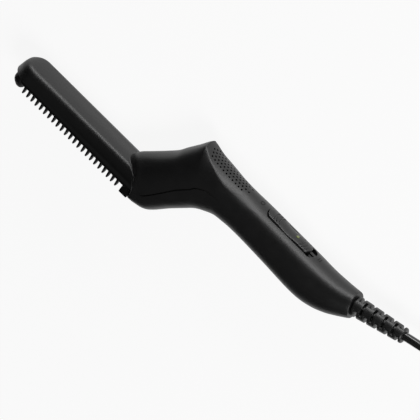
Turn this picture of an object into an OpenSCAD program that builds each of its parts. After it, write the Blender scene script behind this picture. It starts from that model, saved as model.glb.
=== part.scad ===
// Heated straightening comb: a straight comb head, an inclined neck that ends in
// a vented elbow, and a handle with a slide switch and a mains cord.
// The comb lies on its side. X runs along it from the head's tip to the cord,
// Y points to its back (spine, vents, switch) and Z up, through its width.

/* [Head] */
// Length of the head's back, from its tip to the corner at the neck
head_len = 84.5; // [78:0.5:90]
// Width of the head
head_w = 18; // [17:0.5:19]
// Depth of the head's casing, from its back to the comb guard
head_depth = 11.5; // [11:0.25:13]
// Length of the head's lower side, from the tip to the neck's front wall
head_foot = 100.5; // [97:0.5:104]
// Radius between the head's back and its sides
head_round = 2.8; // [2:0.2:3.4]

/* [Neck] */
// Angle between the neck and the head
neck_angle = 46.8; // [44:0.2:50]
// Depth of the neck, square to its own axis
neck_depth = 33.6; // [32:0.2:35]
// Width of the neck
neck_w = 25.6; // [25:0.2:27]
// Height of the step across the neck's back, below the elbow
elbow_step = 2.6; // [1:0.2:4]
// Height of the elbow's ridge above the handle's back
ridge_h = 4; // [3:0.2:5]

/* [Handle] */
// Height of the handle's back above the head's back
handle_rise = 42.4; // [40:0.2:45]
// Depth of the handle at its waist
waist_depth = 26.2; // [25.6:0.2:27]
// Depth of the handle at its belly
belly_depth = 27.9; // [27:0.2:29]
// Width of the handle
handle_w = 24.8; // [24.4:0.2:25.6]
// Length of the casing, from the head's tip to the middle of its end face
body_len = 248.8; // [246:0.4:256]
// Diameter of the round end face
end_d = 17; // [16.6:0.2:18]
// Tilt of the end face and the cord towards the back
end_tilt = 12; // [8:1:14]
// Thickness of the casing's wall
wall = 1.8; // [1.6:0.1:2]

/* [Vents] */
// Diameter of one vent hole
vent_d = 1.25; // [0.9:0.05:1.5]
// Distance between vent holes in one row
vent_pitch = 2.62; // [2.4:0.02:3]
// Number of rows of vent holes
vent_rows = 5; // [3:2:5]
// Number of holes in the middle row
vent_count = 12; // [8:1:12]

/* [Comb guard] */
// Height of the guard's flange below the casing
flange_h = 2; // [1.6:0.1:2.4]
// Length of the teeth below the flange
tooth_len = 5; // [4:0.25:6]
// Distance between two teeth
tooth_pitch = 3.545; // [3.3:0.005:4]
// Thickness of a tooth at its root
tooth_root = 1.6; // [1.3:0.1:1.8]
// Thickness of a tooth at its tip
tooth_tip = 1.1; // [0.8:0.1:1.2]
// Width of the channel between the two rows of teeth
channel_w = 8.8; // [8.2:0.2:9]

/* [Heater] */
// Thickness of the heating comb's base
base_t = 2.1; // [1.8:0.1:2.4]
// Thickness of one heating fin
fin_t = 1.1; // [0.8:0.1:1.3]
// Depth of the fins below the guard's flange
fin_drop = 3; // [2:0.25:3.5]
// Length of the heating element
heater_len = 60; // [50:1:66]
// Thickness of the heating element
heater_t = 2.4; // [2:0.1:2.6]

/* [Switch] */
// Length of the slot in the casing, over its arched ends
slot_len = 39.2; // [38:0.2:41]
// Width of the slot
slot_w = 10; // [9:0.2:10.6]
// How far the ends of the slot are arched
slot_rise = 3; // [2:0.2:3.6]
// Distance from the slot's lower end to the casing's end face
slot_to_end = 37.6; // [36:0.2:40]
// Travel of the switch between off and on
travel = 3.8; // [3.2:0.1:4]
// Height of the switch cap above the casing
cap_proud = 0.8; // [0.5:0.1:1.2]
// Diameter of the indicator window in the cap
lens_d = 2.3; // [1.8:0.1:2.8]

/* [Cord] */
// Diameter of the mains cord
cord_d = 5.4; // [5:0.1:5.4]
// Length of the strain relief outside the casing
relief_len = 34.9; // [32:0.5:38]
// Diameter of the strain relief at the casing
relief_d = 12; // [11:0.2:13]
// Diameter of the strain relief at its free end
relief_end_d = 10; // [9:0.2:11]
// Width of one slot of the strain relief
relief_slot = 1.8; // [1.4:0.1:2]

/* [Hidden] */
$fn = 48;

// Clearances
sliding = 0.35;
running = 0.05;
loose = 0.3;

head_half = head_w / 2;
neck_half = neck_w / 2;
handle_half = handle_w / 2;
cord_r = cord_d / 2;

// Directions and anchor points of the casing, in the plane of its middle
neck_dir = [cos(neck_angle), sin(neck_angle)];
neck_back = [-sin(neck_angle), cos(neck_angle)];
neck_foot = [head_len + neck_depth / 2 / sin(neck_angle), 0];
elbow_x = head_len + handle_rise / tan(neck_angle);
end_mid = [body_len, handle_rise - 3.5];
end_out = [cos(end_tilt), sin(end_tilt)];
end_up = [-sin(end_tilt), cos(end_tilt)];
part_v = handle_rise - 13.7;
waist_v = handle_rise - waist_depth;
belly_v = handle_rise - belly_depth;
tip_lead = 0.5;
tip_angles = [12, 28, 46, 66, 90];
inner_tip_angles = [14, 30, 48, 67, 90];

function at_neck(along, off) = neck_foot + along * neck_dir + off * neck_back;
function at_elbow(along, off) = [elbow_x + along, handle_rise + off];
function at_end(along, off) = [body_len + along, handle_rise + off];

// Key ribs of the casing: parting point, back point and front point, half
// width, squareness behind and in front of the parting line, half width of
// the flat deck, and how softly the deck meets the sides
function rib(part, back, front, half, square, square_front, deck, soft) =
  [part.x, part.y, back.x, back.y, front.x, front.y, half, square, square_front, deck, soft];

neck_off = neck_depth / 2;
key_ribs = [
  rib([head_foot, -head_depth], [head_len, 0], [head_foot + 0.4, -head_depth - 6.1],
      head_half, 7, 5, head_half - head_round, 1),
  rib(at_neck(-8.4, -4.6), at_neck(-10, neck_off - 0.1), [head_foot + 5.5, -head_depth - 6.3],
      head_half + 2.4, 3.4, 3.6, 5, 1),
  rib(at_neck(-3.4, -5.8), at_neck(-4, neck_off), at_neck(-6.6, 1.6 - neck_off),
      neck_half - 0.4, 2.6, 2.6, 5, 1),
  rib(at_neck(9.5, -4), at_neck(9, neck_off), at_neck(9, -neck_off), neck_half, 2.5, 2.5, 5, 1),
  rib(at_neck(19, -2.4), at_neck(18.5, neck_off), at_neck(19, -neck_off), neck_half, 2.5, 2.5, 5, 1),
  rib(at_neck(25, -2), at_neck(24.6, neck_off + elbow_step), at_neck(25, 0.1 - neck_off),
      neck_half, 2.4, 2.5, 4.4, 1),
  rib(at_neck(29.5, -1.9), at_neck(33, neck_off + 3.8), [elbow_x + 16.7, waist_v - 7],
      neck_half - 0.03, 2.2, 2.5, 4.4, 0.7),
  rib(at_elbow(6.7, -19.2), at_elbow(-4.8, ridge_h - 0.2), [elbow_x + 20.7, waist_v - 4.6],
      neck_half - 0.06, 2, 2.5, 5, 0.5),
  rib(at_elbow(8.7, -17.4), at_elbow(-2.8, ridge_h + 0.2), [elbow_x + 23.2, waist_v - 3.3],
      neck_half - 0.1, 2, 2.5, 5.6, 0.48),
  rib(at_elbow(13.7, -14.4), at_elbow(4.2, 2.2), [elbow_x + 26.7, waist_v - 2],
      neck_half - 0.2, 2, 2.5, 7.8, 0.52),
  rib(at_elbow(21.7, -13.2), at_elbow(17.2, 0.7), [elbow_x + 31.7, waist_v - 0.8],
      handle_half + 0.1, 2.1, 2.5, 10.2, 0.6),
  rib(at_elbow(33.7, -13.2), at_elbow(33.7, 0), [elbow_x + 37.7, waist_v - 0.1],
      handle_half, 2.4, 2.4, 8.4, 1),
  rib([elbow_x + 47.7, part_v], at_elbow(47.7, 0), [elbow_x + 47.7, waist_v],
      handle_half, 2.5, 2.4, 7, 1),
  rib(at_end(-58.8, -13.9), at_end(-58.8, 0), [body_len - 58.8, belly_v + 0.8],
      handle_half, 2.5, 2.4, 7, 1),
  rib(at_end(-36.8, -14.1), at_end(-36.8, 0), [body_len - 36.8, belly_v], handle_half, 2.5, 2.4, 7, 1),
  rib(at_end(-24.8, -13.1), at_end(-25.3, 0), [body_len - 23.8, belly_v + 1.3],
      handle_half - 0.6, 2.4, 2.3, 6.4, 1),
  rib(at_end(-12.8, -9.7), at_end(-14.2, 0.9), [body_len - 11.4, belly_v + 6.4],
      handle_half - 1.6, 2.3, 2.2, 5, 1),
  rib(end_mid, end_mid + end_d / 2 * end_up, end_mid - end_d / 2 * end_up, end_d / 2, 2.1, 2.1, 3, 1),
];

// Catmull-Rom value between rows b and c of a table
function blend(a, b, c, d, t) =
  0.5 * (2 * b + (c - a) * t + (2 * a - 5 * b + 4 * c - d) * t * t
         + (3 * b - a - 3 * c + d) * t * t * t);
function between(rows, i, t) =
  blend(rows[max(0, i - 1)], rows[i], rows[i + 1], rows[min(len(rows) - 1, i + 2)], t);

// Ribs of the neck and handle, with one more between each two key ribs
last_key = len(key_ribs) - 1;
body_ribs = [
  for (i = [0 : last_key - 1]) for (t = [0, 0.5]) t == 0 ? key_ribs[i] : between(key_ribs, i, t),
  key_ribs[last_key]
];

side_steps = 6;
deck_steps = 3;

// Half a section: the side's curve from the parting line up to the deck's
// edge, then the crowned deck, as pairs of half width and height
function half_section(half, height, square, deck, soft) =
  let (x = deck / half, x_n = pow(x, square),
       q = deck / 2 * pow(x, square - 1) / ((1 - x_n) * half),
       crown = soft * height * q / (1 + q),
       full = (height - crown) / pow(1 - x_n, 1 / square),
       last = acos(pow(x, square / 2)))
  concat(
    [for (i = [0 : side_steps]) let (a = last * i / side_steps)
      [half * pow(cos(a), 2 / square), full * pow(sin(a), 2 / square)]],
    [for (i = [1 : deck_steps]) let (w = deck * (1 - i / deck_steps))
      [w, height - crown * pow(w / deck, 2)]]);

// Points of one rib in space, from the near parting edge over to the far one
function arch(part, tip, half, square, deck, soft) =
  let (up = (tip - part) / norm(tip - part),
       s = half_section(half, norm(tip - part), square, deck, soft),
       last = len(s) - 1)
  [for (i = [-last : last]) let (p = s[last - abs(i)], w = i <= 0 ? p.x : -p.x)
    [part.x + up.x * p.y, part.y + up.y * p.y, w]];

// Arches of a rib behind and in front of the parting line, a skin deep
function sunk(part, tip, skin) = tip + (part - tip) / norm(tip - part) * skin;
function back_arch(r, skin) = let (k = (r[6] - skin) / r[6])
  arch([r[0], r[1]], sunk([r[0], r[1]], [r[2], r[3]], skin), r[6] - skin, r[7], r[9] * k, r[10]);
function front_arch(r, skin) = let (k = (r[6] - skin) / r[6])
  arch([r[0], r[1]], sunk([r[0], r[1]], [r[4], r[5]], skin), r[6] - skin, r[8], 5 * k, 1);

// A rib with its three points moved by one step
function moved(r, step) = [r[0] + step.x, r[1] + step.y, r[2] + step.x, r[3] + step.y,
                           r[4] + step.x, r[5] + step.y, r[6], r[7], r[8], r[9], r[10]];
last_rib = len(body_ribs) - 1;
front_rib = moved(body_ribs[0], [wall, 0]);
end_rib = moved(body_ribs[last_rib], -wall * end_out);

// Ribs of the head's round tip, by the angle round its plan, a skin deep
function tip_rib(a, skin) =
  let (r = head_half - skin, u = skin + r * (1 - cos(a)), low = u - tip_lead * cos(a),
       round_v = skin + head_round * pow(1 - sin(a), 1.5), half = r * sin(a))
  rib([low, -head_depth], [u, -round_v], [low, -head_depth - 1],
      half, 7 - 3 * cos(a), 2, half * (1 - head_round / head_half), 1);

// Place of the whole comb: its middle over the origin, its side on the ground
relief_end = end_mid + relief_len * end_out;
teeth_v = -head_depth - flange_h - tooth_len;
x_lo = tip_rib(tip_angles[0], 0)[0];
x_hi = relief_end.x + relief_end_d / 2 * sin(end_tilt);
y_hi = relief_end.y + relief_end_d / 2 * cos(end_tilt);
rest_h = max([for (r = body_ribs) r[6]]);
module placed() {
  translate([-(x_lo + x_hi) / 2, -(teeth_v + y_hi) / 2, rest_h]) children();
}

// Open hull between an outer and an inner row of arches
module canoe(outer, inner, flip) {
  m = len(outer[0]);
  points = concat([for (a = outer) for (p = a) p], [for (a = inner) for (p = a) p]);
  base = len(outer) * m;
  function o(i, j) = i * m + j;
  function n(i, j) = base + i * m + j;
  function quad(a, b, c, d) = flip ? [[a, b, c], [a, c, d]] : [[c, b, a], [d, c, a]];
  function fan(s, j) = flip ? [s, s + j, s + j + 1] : [s + j + 1, s + j, s];
  function naf(s, j) = flip ? [s, s + j + 1, s + j] : [s + j, s + j + 1, s];
  lo = len(outer) - 1;
  e = m - 1;
  outside = [for (i = [0 : lo - 1]) for (j = [0 : m - 2])
    each quad(o(i, j), o(i + 1, j), o(i + 1, j + 1), o(i, j + 1))];
  inside = [for (i = [0 : lo - 1]) for (j = [0 : m - 2])
    each quad(n(i, j), n(i, j + 1), n(i + 1, j + 1), n(i + 1, j))];
  near_rim = [for (i = [0 : lo - 1]) each quad(o(i, 0), n(i, 0), n(i + 1, 0), o(i + 1, 0))];
  far_rim = [for (i = [0 : lo - 1]) each quad(o(i, e), o(i + 1, e), n(i + 1, e), n(i, e))];
  ends = concat(
    quad(o(0, 0), o(0, e), n(0, e), n(0, 0)),
    quad(o(lo, 0), n(lo, 0), n(lo, e), o(lo, e)),
    [for (j = [1 : m - 2]) fan(o(0, 0), j)],
    [for (j = [1 : m - 2]) naf(n(0, 0), j)],
    [for (j = [1 : m - 2]) naf(o(lo, 0), j)],
    [for (j = [1 : m - 2]) fan(n(lo, 0), j)]);
  polyhedron(points, concat(outside, inside, near_rim, far_rim, ends));
}

module back_hull() {
  outer = concat([for (a = tip_angles) back_arch(tip_rib(a, 0), 0)],
                 [for (r = body_ribs) back_arch(r, 0)]);
  inner = concat([for (a = inner_tip_angles) back_arch(tip_rib(a, wall), 0)],
                 [for (i = [0 : last_rib]) back_arch(i == last_rib ? end_rib : body_ribs[i], wall)]);
  canoe(outer, inner, false);
}

module front_hull() {
  canoe([for (r = body_ribs) front_arch(r, 0)],
        [for (i = [0 : last_rib])
          front_arch(i == 0 ? front_rib : i == last_rib ? end_rib : body_ribs[i], wall)], true);
}

// A frame whose X follows the cord out of the casing, from the end face
module along_cord() {
  translate([end_mid.x, end_mid.y, 0]) rotate(end_tilt) children();
}
// A round bar along the frame's Y, from y0 to y1
module post(x, y0, y1, z, r) {
  translate([x, y0, z]) rotate([-90, 0, 0]) cylinder(r = r, h = y1 - y0);
}
module block(low, high) {
  translate(low) cube(high - low);
}

// Housing screws: point where the two bosses meet, turn of the screw's axis,
// depth to the front's surface and to the middle of the back wall
screw_r = 1.3;
screw_head_r = 2.5;
screw_head_h = 2;
pit_depth = 4.2;
boss_r = 3.4;
neck_joint = at_neck(13, -3.6);
screw_sites = [
  [neck_joint, neck_angle, neck_off - 3.6, neck_off + 3.6 - wall / 2],
  [[elbow_x + 36.2, part_v], 0, part_v - waist_v, handle_rise - part_v - wall / 2],
  [[body_len - 23.4, part_v + 1], 0, part_v - belly_v - 0.5, handle_rise - part_v - 1 - wall / 2],
];
module at_screw(site) {
  translate([site[0].x, site[0].y, 0]) rotate(site[1]) children();
}

// The slot's outline, from its corners at x0 and x1, and its arched ends
module arched(x0, x1, half, rise) {
  arc_r = (half * half + rise * rise) / (2 * rise);
  translate([x0, -half]) square([x1 - x0, 2 * half]);
  intersection() {
    translate([x1 + rise - arc_r, 0]) circle(arc_r);
    translate([x1 - 0.5, -half]) square([rise + 1, 2 * half]);
  }
  intersection() {
    translate([x0 - rise + arc_r, 0]) circle(arc_r);
    translate([x0 - rise - 0.5, -half]) square([rise + 1, 2 * half]);
  }
}
// Lays an outline of length and width on the back, from y0 up to y1
module on_back(y0, y1) {
  translate([0, y1, 0]) rotate([90, 0, 0]) linear_extrude(y1 - y0) children();
}

slot_x1 = body_len - slot_to_end - slot_rise;
slot_x0 = slot_x1 - slot_len + 2 * slot_rise;
slot_half = slot_w / 2;
tongue_w = 2.2;
tongue_len = 4.4;
tongue_t = 1;

// Board, its posts and what stands on it
board_t = 1.6;
board_top = handle_rise - 9.8;
board_x0 = elbow_x + 40.3;
board_x1 = body_len - 28.3;
board_half = 8;
board_posts = [[board_x0 + 2.6, 2.1], [board_x1 - 3, 2.2]];
board_screw_r = 0.95;

// Clamp of the cord, in the cord's frame
clamp_x = -12;
clamp_w = 6;
clamp_z = 5.4;
clamp_post_r = 2.1;
clamp_screw_r = 1;
tail_in = -16;
flange_r = 6.1;
relief_neck_r = 4.5;

module back_shell() color([0.16, 0.16, 0.17]) placed() difference() {
  union() {
    back_hull();
    for (s = screw_sites) at_screw(s) post(0, 0, s[3], 0, boss_r);
    for (p = board_posts) post(p[0], board_top, handle_rise - wall / 2, 0, p[1]);
    for (z = [-clamp_z, clamp_z]) along_cord() post(clamp_x, -cord_r, 4.2, z, clamp_post_r);
  }
  for (s = screw_sites) at_screw(s) post(0, -1, 9, 0, screw_r + running);
  for (p = board_posts) post(p[0], board_top - 1, board_top + 4.5, 0, board_screw_r + running);
  for (z = [-clamp_z, clamp_z])
    along_cord() post(clamp_x, -cord_r - 1, 2.5, z, clamp_screw_r + running);
  difference() {
    on_back(handle_rise - 6, handle_rise + 4) arched(slot_x0, slot_x1, slot_half, slot_rise);
    block([slot_x1 + slot_rise - tongue_len, handle_rise - wall - 0.1, -tongue_w / 2],
          [slot_x1 + slot_rise + 1, handle_rise - wall + tongue_t, tongue_w / 2]);
  }
  vents();
  along_cord() relief_bore();
}

// Rows of vent holes, each second row set off by half a step
vent_x0 = elbow_x - 0.7;
module vents() {
  mid = (vent_rows - 1) / 2;
  for (k = [-mid : mid]) {
    odd = abs(k) % 2;
    count = vent_count + (abs(k) == 2 ? -1 : odd);
    shift = abs(k) == 2 ? vent_pitch : odd * vent_pitch / 2;
    for (i = [0 : count - 1])
      post(vent_x0 + shift + i * vent_pitch, handle_rise - 9, handle_rise + 9,
           k * vent_pitch * sin(60), vent_d / 2);
  }
}

// Round hole through the end wall for the strain relief's neck
module relief_bore() {
  rotate([0, 90, 0]) translate([0, 0, -wall - 1.5]) cylinder(r = relief_neck_r + running, h = wall + 3);
}

lip_t = 1;
lip_h = 2.6;
module front_shell() color([0.15, 0.15, 0.16]) placed() difference() {
  union() {
    front_hull();
    for (s = screw_sites) at_screw(s) post(0, -s[2] + wall / 2, 0, 0, boss_r + 0.4);
    for (x = [slot_x0 + 5, slot_x1]) for (side = [-1, 1]) locating_lip(x, side);
  }
  for (s = screw_sites) at_screw(s) {
    post(0, -s[2] - 3, 1, 0, screw_r + loose);
    post(0, -s[2] - 6, -s[2] + pit_depth, 0, screw_head_r + loose);
  }
  along_cord() relief_bore();
}

// A lip on the front half's wall that reaches behind the back half's wall
module locating_lip(x, side) {
  out = handle_half - wall;
  translate([x - 4, 0, 0]) rotate([90, 0, 90]) linear_extrude(8) scale([1, side]) polygon([
    [part_v - 5, out - loose - lip_t], [part_v - 5, out + 0.6], [part_v - 1, out + 0.6],
    [part_v - 0.6, out - loose], [part_v + lip_h, out - loose], [part_v + lip_h, out - loose - lip_t]]);
}

// Guard: outline seen from the side, section across, and plan of the tip
guard_x0 = 1.2;
guard_x1 = head_foot - 0.3;
guard_half = head_half - 0.3;
flange_v = -head_depth - flange_h;
tooth_x0 = 12.7;
end_block = 6;
tooth_count = floor((guard_x1 - end_block - 2.6 - tooth_x0) / tooth_pitch) + 1;
tip_bump_x0 = 3.6;
tip_bump_x1 = 9.6;
upstand_h = 2;
upstand_x0 = head_half - 0.8;
channel = channel_w / 2;
casing_half = head_half - wall;

module comb_guard() color([0.1, 0.1, 0.11]) placed() {
  intersection() {
    guard_outline();
    guard_plan();
    guard_section();
  }
  tip_bump();
  end_stop();
  guard_tail();
}

module guard_outline() {
  translate([0, 0, -head_half]) linear_extrude(head_w) {
    translate([guard_x0, flange_v]) square([guard_x1 - guard_x0, flange_h]);
    translate([upstand_x0, flange_v]) square([guard_x1 - upstand_x0, flange_h + upstand_h]);
    for (i = [0 : tooth_count - 1]) translate([tooth_x0 + i * tooth_pitch, flange_v])
      polygon([[-tooth_root / 2 - 0.3, 0.4], [-tooth_root / 2, -0.5],
               [-tooth_tip / 2, 0.4 - tooth_len], [-tooth_tip / 4, -tooth_len],
               [tooth_tip / 4, -tooth_len], [tooth_tip / 2, 0.4 - tooth_len],
               [tooth_root / 2, -0.5], [tooth_root / 2 + 0.3, 0.4]]);
  }
}

// Plan with a round tip
module plan_outline(half, x1) {
  translate([half, 0]) circle(half);
  translate([half, -half]) square([x1 - half, 2 * half]);
}
module guard_plan() {
  on_back(teeth_v - 1, 0) translate([guard_x0, 0]) plan_outline(guard_half, guard_x1 - guard_x0);
}

module guard_section() {
  for (s = [-1, 1]) translate([guard_x0 - 1, 0, 0]) rotate([90, 0, 90])
    linear_extrude(guard_x1 - guard_x0 + 1) scale([1, s]) polygon([
      [-head_depth, channel], [-head_depth, channel + 0.8], [upstand_h - head_depth, channel + 0.8],
      [upstand_h - head_depth, casing_half - loose], [-head_depth, casing_half - loose],
      [-head_depth, guard_half], [flange_v, guard_half - 0.2], [flange_v - 2, guard_half - 0.5],
      [teeth_v + 0.8, guard_half - 1.2], [teeth_v, guard_half - 2],
      [teeth_v, channel + 1.6], [teeth_v + 2, channel + 0.5], [flange_v, channel]]);
}

// Round bumper under the tip, the flange's web over it, and the end stop
module tip_bump() {
  intersection() {
    on_back(teeth_v + 0.4, -head_depth) translate([guard_x0, 0])
      plan_outline(guard_half - 0.1, tip_bump_x1 - guard_x0);
    translate([0, 0, -head_half]) linear_extrude(head_w) polygon([
      [guard_x0, -head_depth], [guard_x0 + 0.2, flange_v], [tip_bump_x0 - 1, flange_v - 1.2],
      [tip_bump_x0, flange_v - 3.4], [tip_bump_x0 + 1.6, teeth_v + 0.5], [tip_bump_x0 + 4, teeth_v + 0.4],
      [tip_bump_x1 - 0.6, flange_v - 2.6], [tip_bump_x1, flange_v], [tip_bump_x1, -head_depth]]);
  }
}
module end_stop() {
  block([guard_x1 - end_block, teeth_v, 0.4 - guard_half], [guard_x1, flange_v + 0.4, guard_half - 0.4]);
  block([guard_x1 - end_block, flange_v, -channel - 0.1], [guard_x1, -head_depth, channel + 0.1]);
}

// Tongue that the neck's front wall holds up
tail_w = 9;
module guard_tail() {
  block([guard_x1 - 3, -head_depth - 0.5, -tail_w / 2],
        [guard_x1, -head_depth + running + 1.6, tail_w / 2]);
  block([guard_x1 - 0.5, -head_depth + running, -tail_w / 2],
        [head_foot + 5, -head_depth + running + 1.6, tail_w / 2]);
}

// Heating comb: a base on the flange's inner edge, with a fin beside each tooth
base_x0 = tip_bump_x1 + 0.2;
base_x1 = guard_x1 - end_block - 0.4;
base_top = -head_depth + base_t;
module heating_comb() color([0.75, 0.76, 0.78]) placed() {
  block([base_x0, -head_depth, 0.1 - channel - 0.6], [base_x1, base_top, channel + 0.5]);
  for (i = [0 : tooth_count - 1]) translate([tooth_x0 + i * tooth_pitch, 0, 0])
    translate([-fin_t / 2, 0, 0]) rotate([90, 0, 90]) linear_extrude(fin_t) polygon([
      [-head_depth + 0.1, loose - channel], [flange_v - fin_drop + 1, loose - channel + 0.3],
      [flange_v - fin_drop, 1.6 - channel], [flange_v - fin_drop, channel - 1.6],
      [flange_v - fin_drop + 1, channel - loose - 0.3], [-head_depth + 0.1, channel - loose]]);
}

heater_x0 = 18;
heater_x1 = heater_x0 + heater_len;
heater_top = base_top + heater_t;
heater_half = 4;
module ptc_heater() color([0.82, 0.8, 0.74]) placed()
  block([heater_x0, base_top, -heater_half], [heater_x1, heater_top, heater_half]);

mica_t = 0.4;
mica_top = heater_top + mica_t;
module mica_sheet() color([0.7, 0.6, 0.42]) placed()
  block([heater_x0 - 1, heater_top, -heater_half - 1], [heater_x1 + 1, mica_top, heater_half + 1]);

// Leaf spring between the mica sheet and the head's back
spring_t = 0.45;
module heater_spring() color([0.66, 0.67, 0.69]) placed() {
  rise = -wall - running - mica_top;
  half_len = 24;
  leaf_r = (half_len * half_len + rise * rise) / (2 * rise);
  mid_x = (heater_x0 + heater_x1) / 2;
  intersection() {
    translate([mid_x, mica_top + rise - leaf_r, -3]) difference() {
      cylinder(r = leaf_r, h = 6, $fn = 180);
      translate([0, 0, -1]) cylinder(r = leaf_r - spring_t, h = 8, $fn = 180);
    }
    block([mid_x - half_len - 2, mica_top, -4], [mid_x + half_len + 2, 0, 4]);
  }
}

// Swept round tube: rings of points square to the route at each of its points
function unit(a) = a / norm(a);
function ring_at(route, i, r, sides) =
  let (last = len(route) - 1,
       way = unit(route[min(i + 1, last)] - route[max(i - 1, 0)]),
       side = unit(cross([0, 0, 1], way)), up = cross(way, side))
  [for (k = [0 : sides - 1]) let (a = 360 * k / sides - 90)
    route[i] + r * (cos(a) * side + sin(a) * up)];
module tube(route, r, sides) {
  rings = len(route);
  points = [for (i = [0 : rings - 1]) each ring_at(route, i, r, sides)];
  skin = [for (i = [0 : rings - 2]) for (k = [0 : sides - 1])
    let (k2 = (k + 1) % sides, a = i * sides + k, b = i * sides + k2)
    each [[a, a + sides, b], [b, a + sides, b + sides]]];
  caps = [[for (k = [0 : sides - 1]) k], [for (k = [sides - 1 : -1 : 0]) (rings - 1) * sides + k]];
  polyhedron(points, concat(skin, caps));
}

fuse_r = 1.5;
fuse_x0 = heater_x1 + 4.5;
fuse_x1 = fuse_x0 + 9;
fuse_z = 2.8;
lead_v = base_top + fuse_r + running;
module thermal_fuse() color([0.8, 0.78, 0.7]) placed()
  translate([fuse_x0, lead_v, fuse_z]) rotate([0, 90, 0]) cylinder(r = fuse_r, h = fuse_x1 - fuse_x0);

sensor_r = 1.3;
sensor_x0 = heater_x1 + 4;
sensor_x1 = sensor_x0 + 5.5;
sensor_v = base_top + sensor_r + running;
sensor_z = -3;
module temperature_sensor() color([0.25, 0.12, 0.08]) placed()
  translate([sensor_x0, sensor_v, sensor_z]) rotate([0, 90, 0])
    cylinder(r = sensor_r, h = sensor_x1 - sensor_x0);

// Route of a lead from the head up the neck to the board, where it stands
// side along the last stretch
function lead_route(x0, v0, z0, z1, x1) = [
  [x0, v0, z0], [x0 + 3, v0, z0],
  [head_foot - 0.5, v0 + 2, z0 + (z1 - z0) * 0.2], each [for (t = [-9, -2, 6, 14, 21])
    concat(at_neck(t, -1 + t / 6), [z0 + (z1 - z0) * min(1, (t + 24) / 28)])],
  concat(at_elbow(9, -11.4), [z1]), concat(at_elbow(18, -8), [z1]), concat(at_elbow(27, -7.2), [z1]),
  [x1 - 7, board_top + 2.4, z1], [x1 - 2.6, board_top + 2.3, z1],
  [x1 - 0.6, board_top + 1.6, z1], [x1, board_top + 0.7, z1], [x1, board_top, z1]];
lead_r = 0.8;
module heater_leads() color([0.85, 0.83, 0.78]) placed() {
  tube([[heater_x1, lead_v, fuse_z], [fuse_x0, lead_v, fuse_z]], lead_r, 8);
  tube(lead_route(fuse_x1, lead_v, fuse_z, 6.9, board_x0 + 5.5), lead_r, 8);
  tube(concat([[heater_x1, lead_v, 0]], lead_route(heater_x1 + 12, lead_v, 0, 4.9, board_x0 + 8)), lead_r, 8);
}

sensor_lead_r = 0.4;
module sensor_leads() color([0.7, 0.15, 0.12]) placed() {
  tube(lead_route(sensor_x1, sensor_v, sensor_z + 0.6, -4.9, board_x0 + 7), sensor_lead_r, 8);
  tube(lead_route(sensor_x1, sensor_v, sensor_z - 0.6, -6.4, board_x0 + 7), sensor_lead_r, 8);
}

// Switch cap: arched block with a crowned, scooped top, and a plate below
cap_half = slot_half - sliding;
cap_x0 = slot_x0 + sliding;
cap_x1 = slot_x1 - travel - 0.2;
cap_top = handle_rise + cap_proud;
crown_r = 11;
plate_half = slot_half + 0.75;
plate_top = handle_rise - 3.4;
plate_t = 0.9;
plate_over = 2.6;
lever_x = slot_x0 + 7.1;
lever_len = 4;
lever_w = 3;
lens_x = cap_x0 + 20.2;
scoop_x = cap_x0 + 14.6;
scoop_half = 7;
scoop_depth = 0.7;
scoop_r = (scoop_half * scoop_half + scoop_depth * scoop_depth) / (2 * scoop_depth);
grip_x = [cap_x0 + 3.7, cap_x0 + 6.3, cap_x0 + 25.6, cap_x0 + 27.4];

// Solid under a crowned surface whose highest line is at this height
module under_crown(top, r) {
  translate([cap_x0 - 8, top - crown_r, 0]) rotate([0, 90, 0]) cylinder(r = r, h = slot_len + 12, $fn = 120);
}
module switch_cap() color([0.2, 0.2, 0.21]) placed() difference() {
  union() {
    difference() {
      intersection() {
        on_back(plate_top - 0.1, cap_top + 1) arched(cap_x0, cap_x1, cap_half, slot_rise);
        under_crown(cap_top, crown_r);
      }
      translate([scoop_x, cap_top - scoop_depth + scoop_r, -cap_half - 1])
        cylinder(r = scoop_r, h = 2 * cap_half + 2, $fn = 180);
    }
    intersection() {
      on_back(handle_rise - 2, cap_top + 1) arched(cap_x0, cap_x1, cap_half - 0.5, slot_rise);
      under_crown(cap_top, crown_r + 0.35);
      for (x = grip_x) grip_arc(x, x < scoop_x ? 1 : -1);
    }
    block([slot_x0 - slot_rise - plate_over + sliding, plate_top - plate_t, -plate_half],
          [cap_x1 + slot_rise + plate_over - 0.3, plate_top, plate_half]);
    block([lever_x - 3.4, plate_top - plate_t - 1.9, -3], [lever_x + 3.4, plate_top - 0.1, 3]);
  }
  block([lever_x - lever_len / 2 - running, plate_top - plate_t - 3, -lever_w / 2 - running],
        [lever_x + lever_len / 2 + running, plate_top - plate_t - 0.2, lever_w / 2 + running]);
  block([cap_x1 + slot_rise - tongue_len, plate_top + 0.1, -tongue_w / 2 - loose],
        [cap_x1 + slot_rise + 1, handle_rise - wall + tongue_t + loose, tongue_w / 2 + loose]);
  post(lens_x, plate_top - 2, cap_top + 1, 0, lens_d / 2 + running);
}
// Curved grip bar across the cap, bowed towards the cap's nearer end
module grip_arc(x, side) {
  translate([x + side * 5.4, cap_top + 1, 0]) rotate([90, 0, 0]) difference() {
    cylinder(r = 5.8, h = 4);
    translate([0, 0, -1]) cylinder(r = 5, h = 6);
    translate([side > 0 ? -2 : -8, -8, -1]) cube([10, 16, 6]);
  }
}

module indicator_lens() color([0.6, 0.68, 0.2]) placed()
  post(lens_x, plate_top - plate_t, cap_top - 0.35, 0, lens_d / 2);

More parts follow.
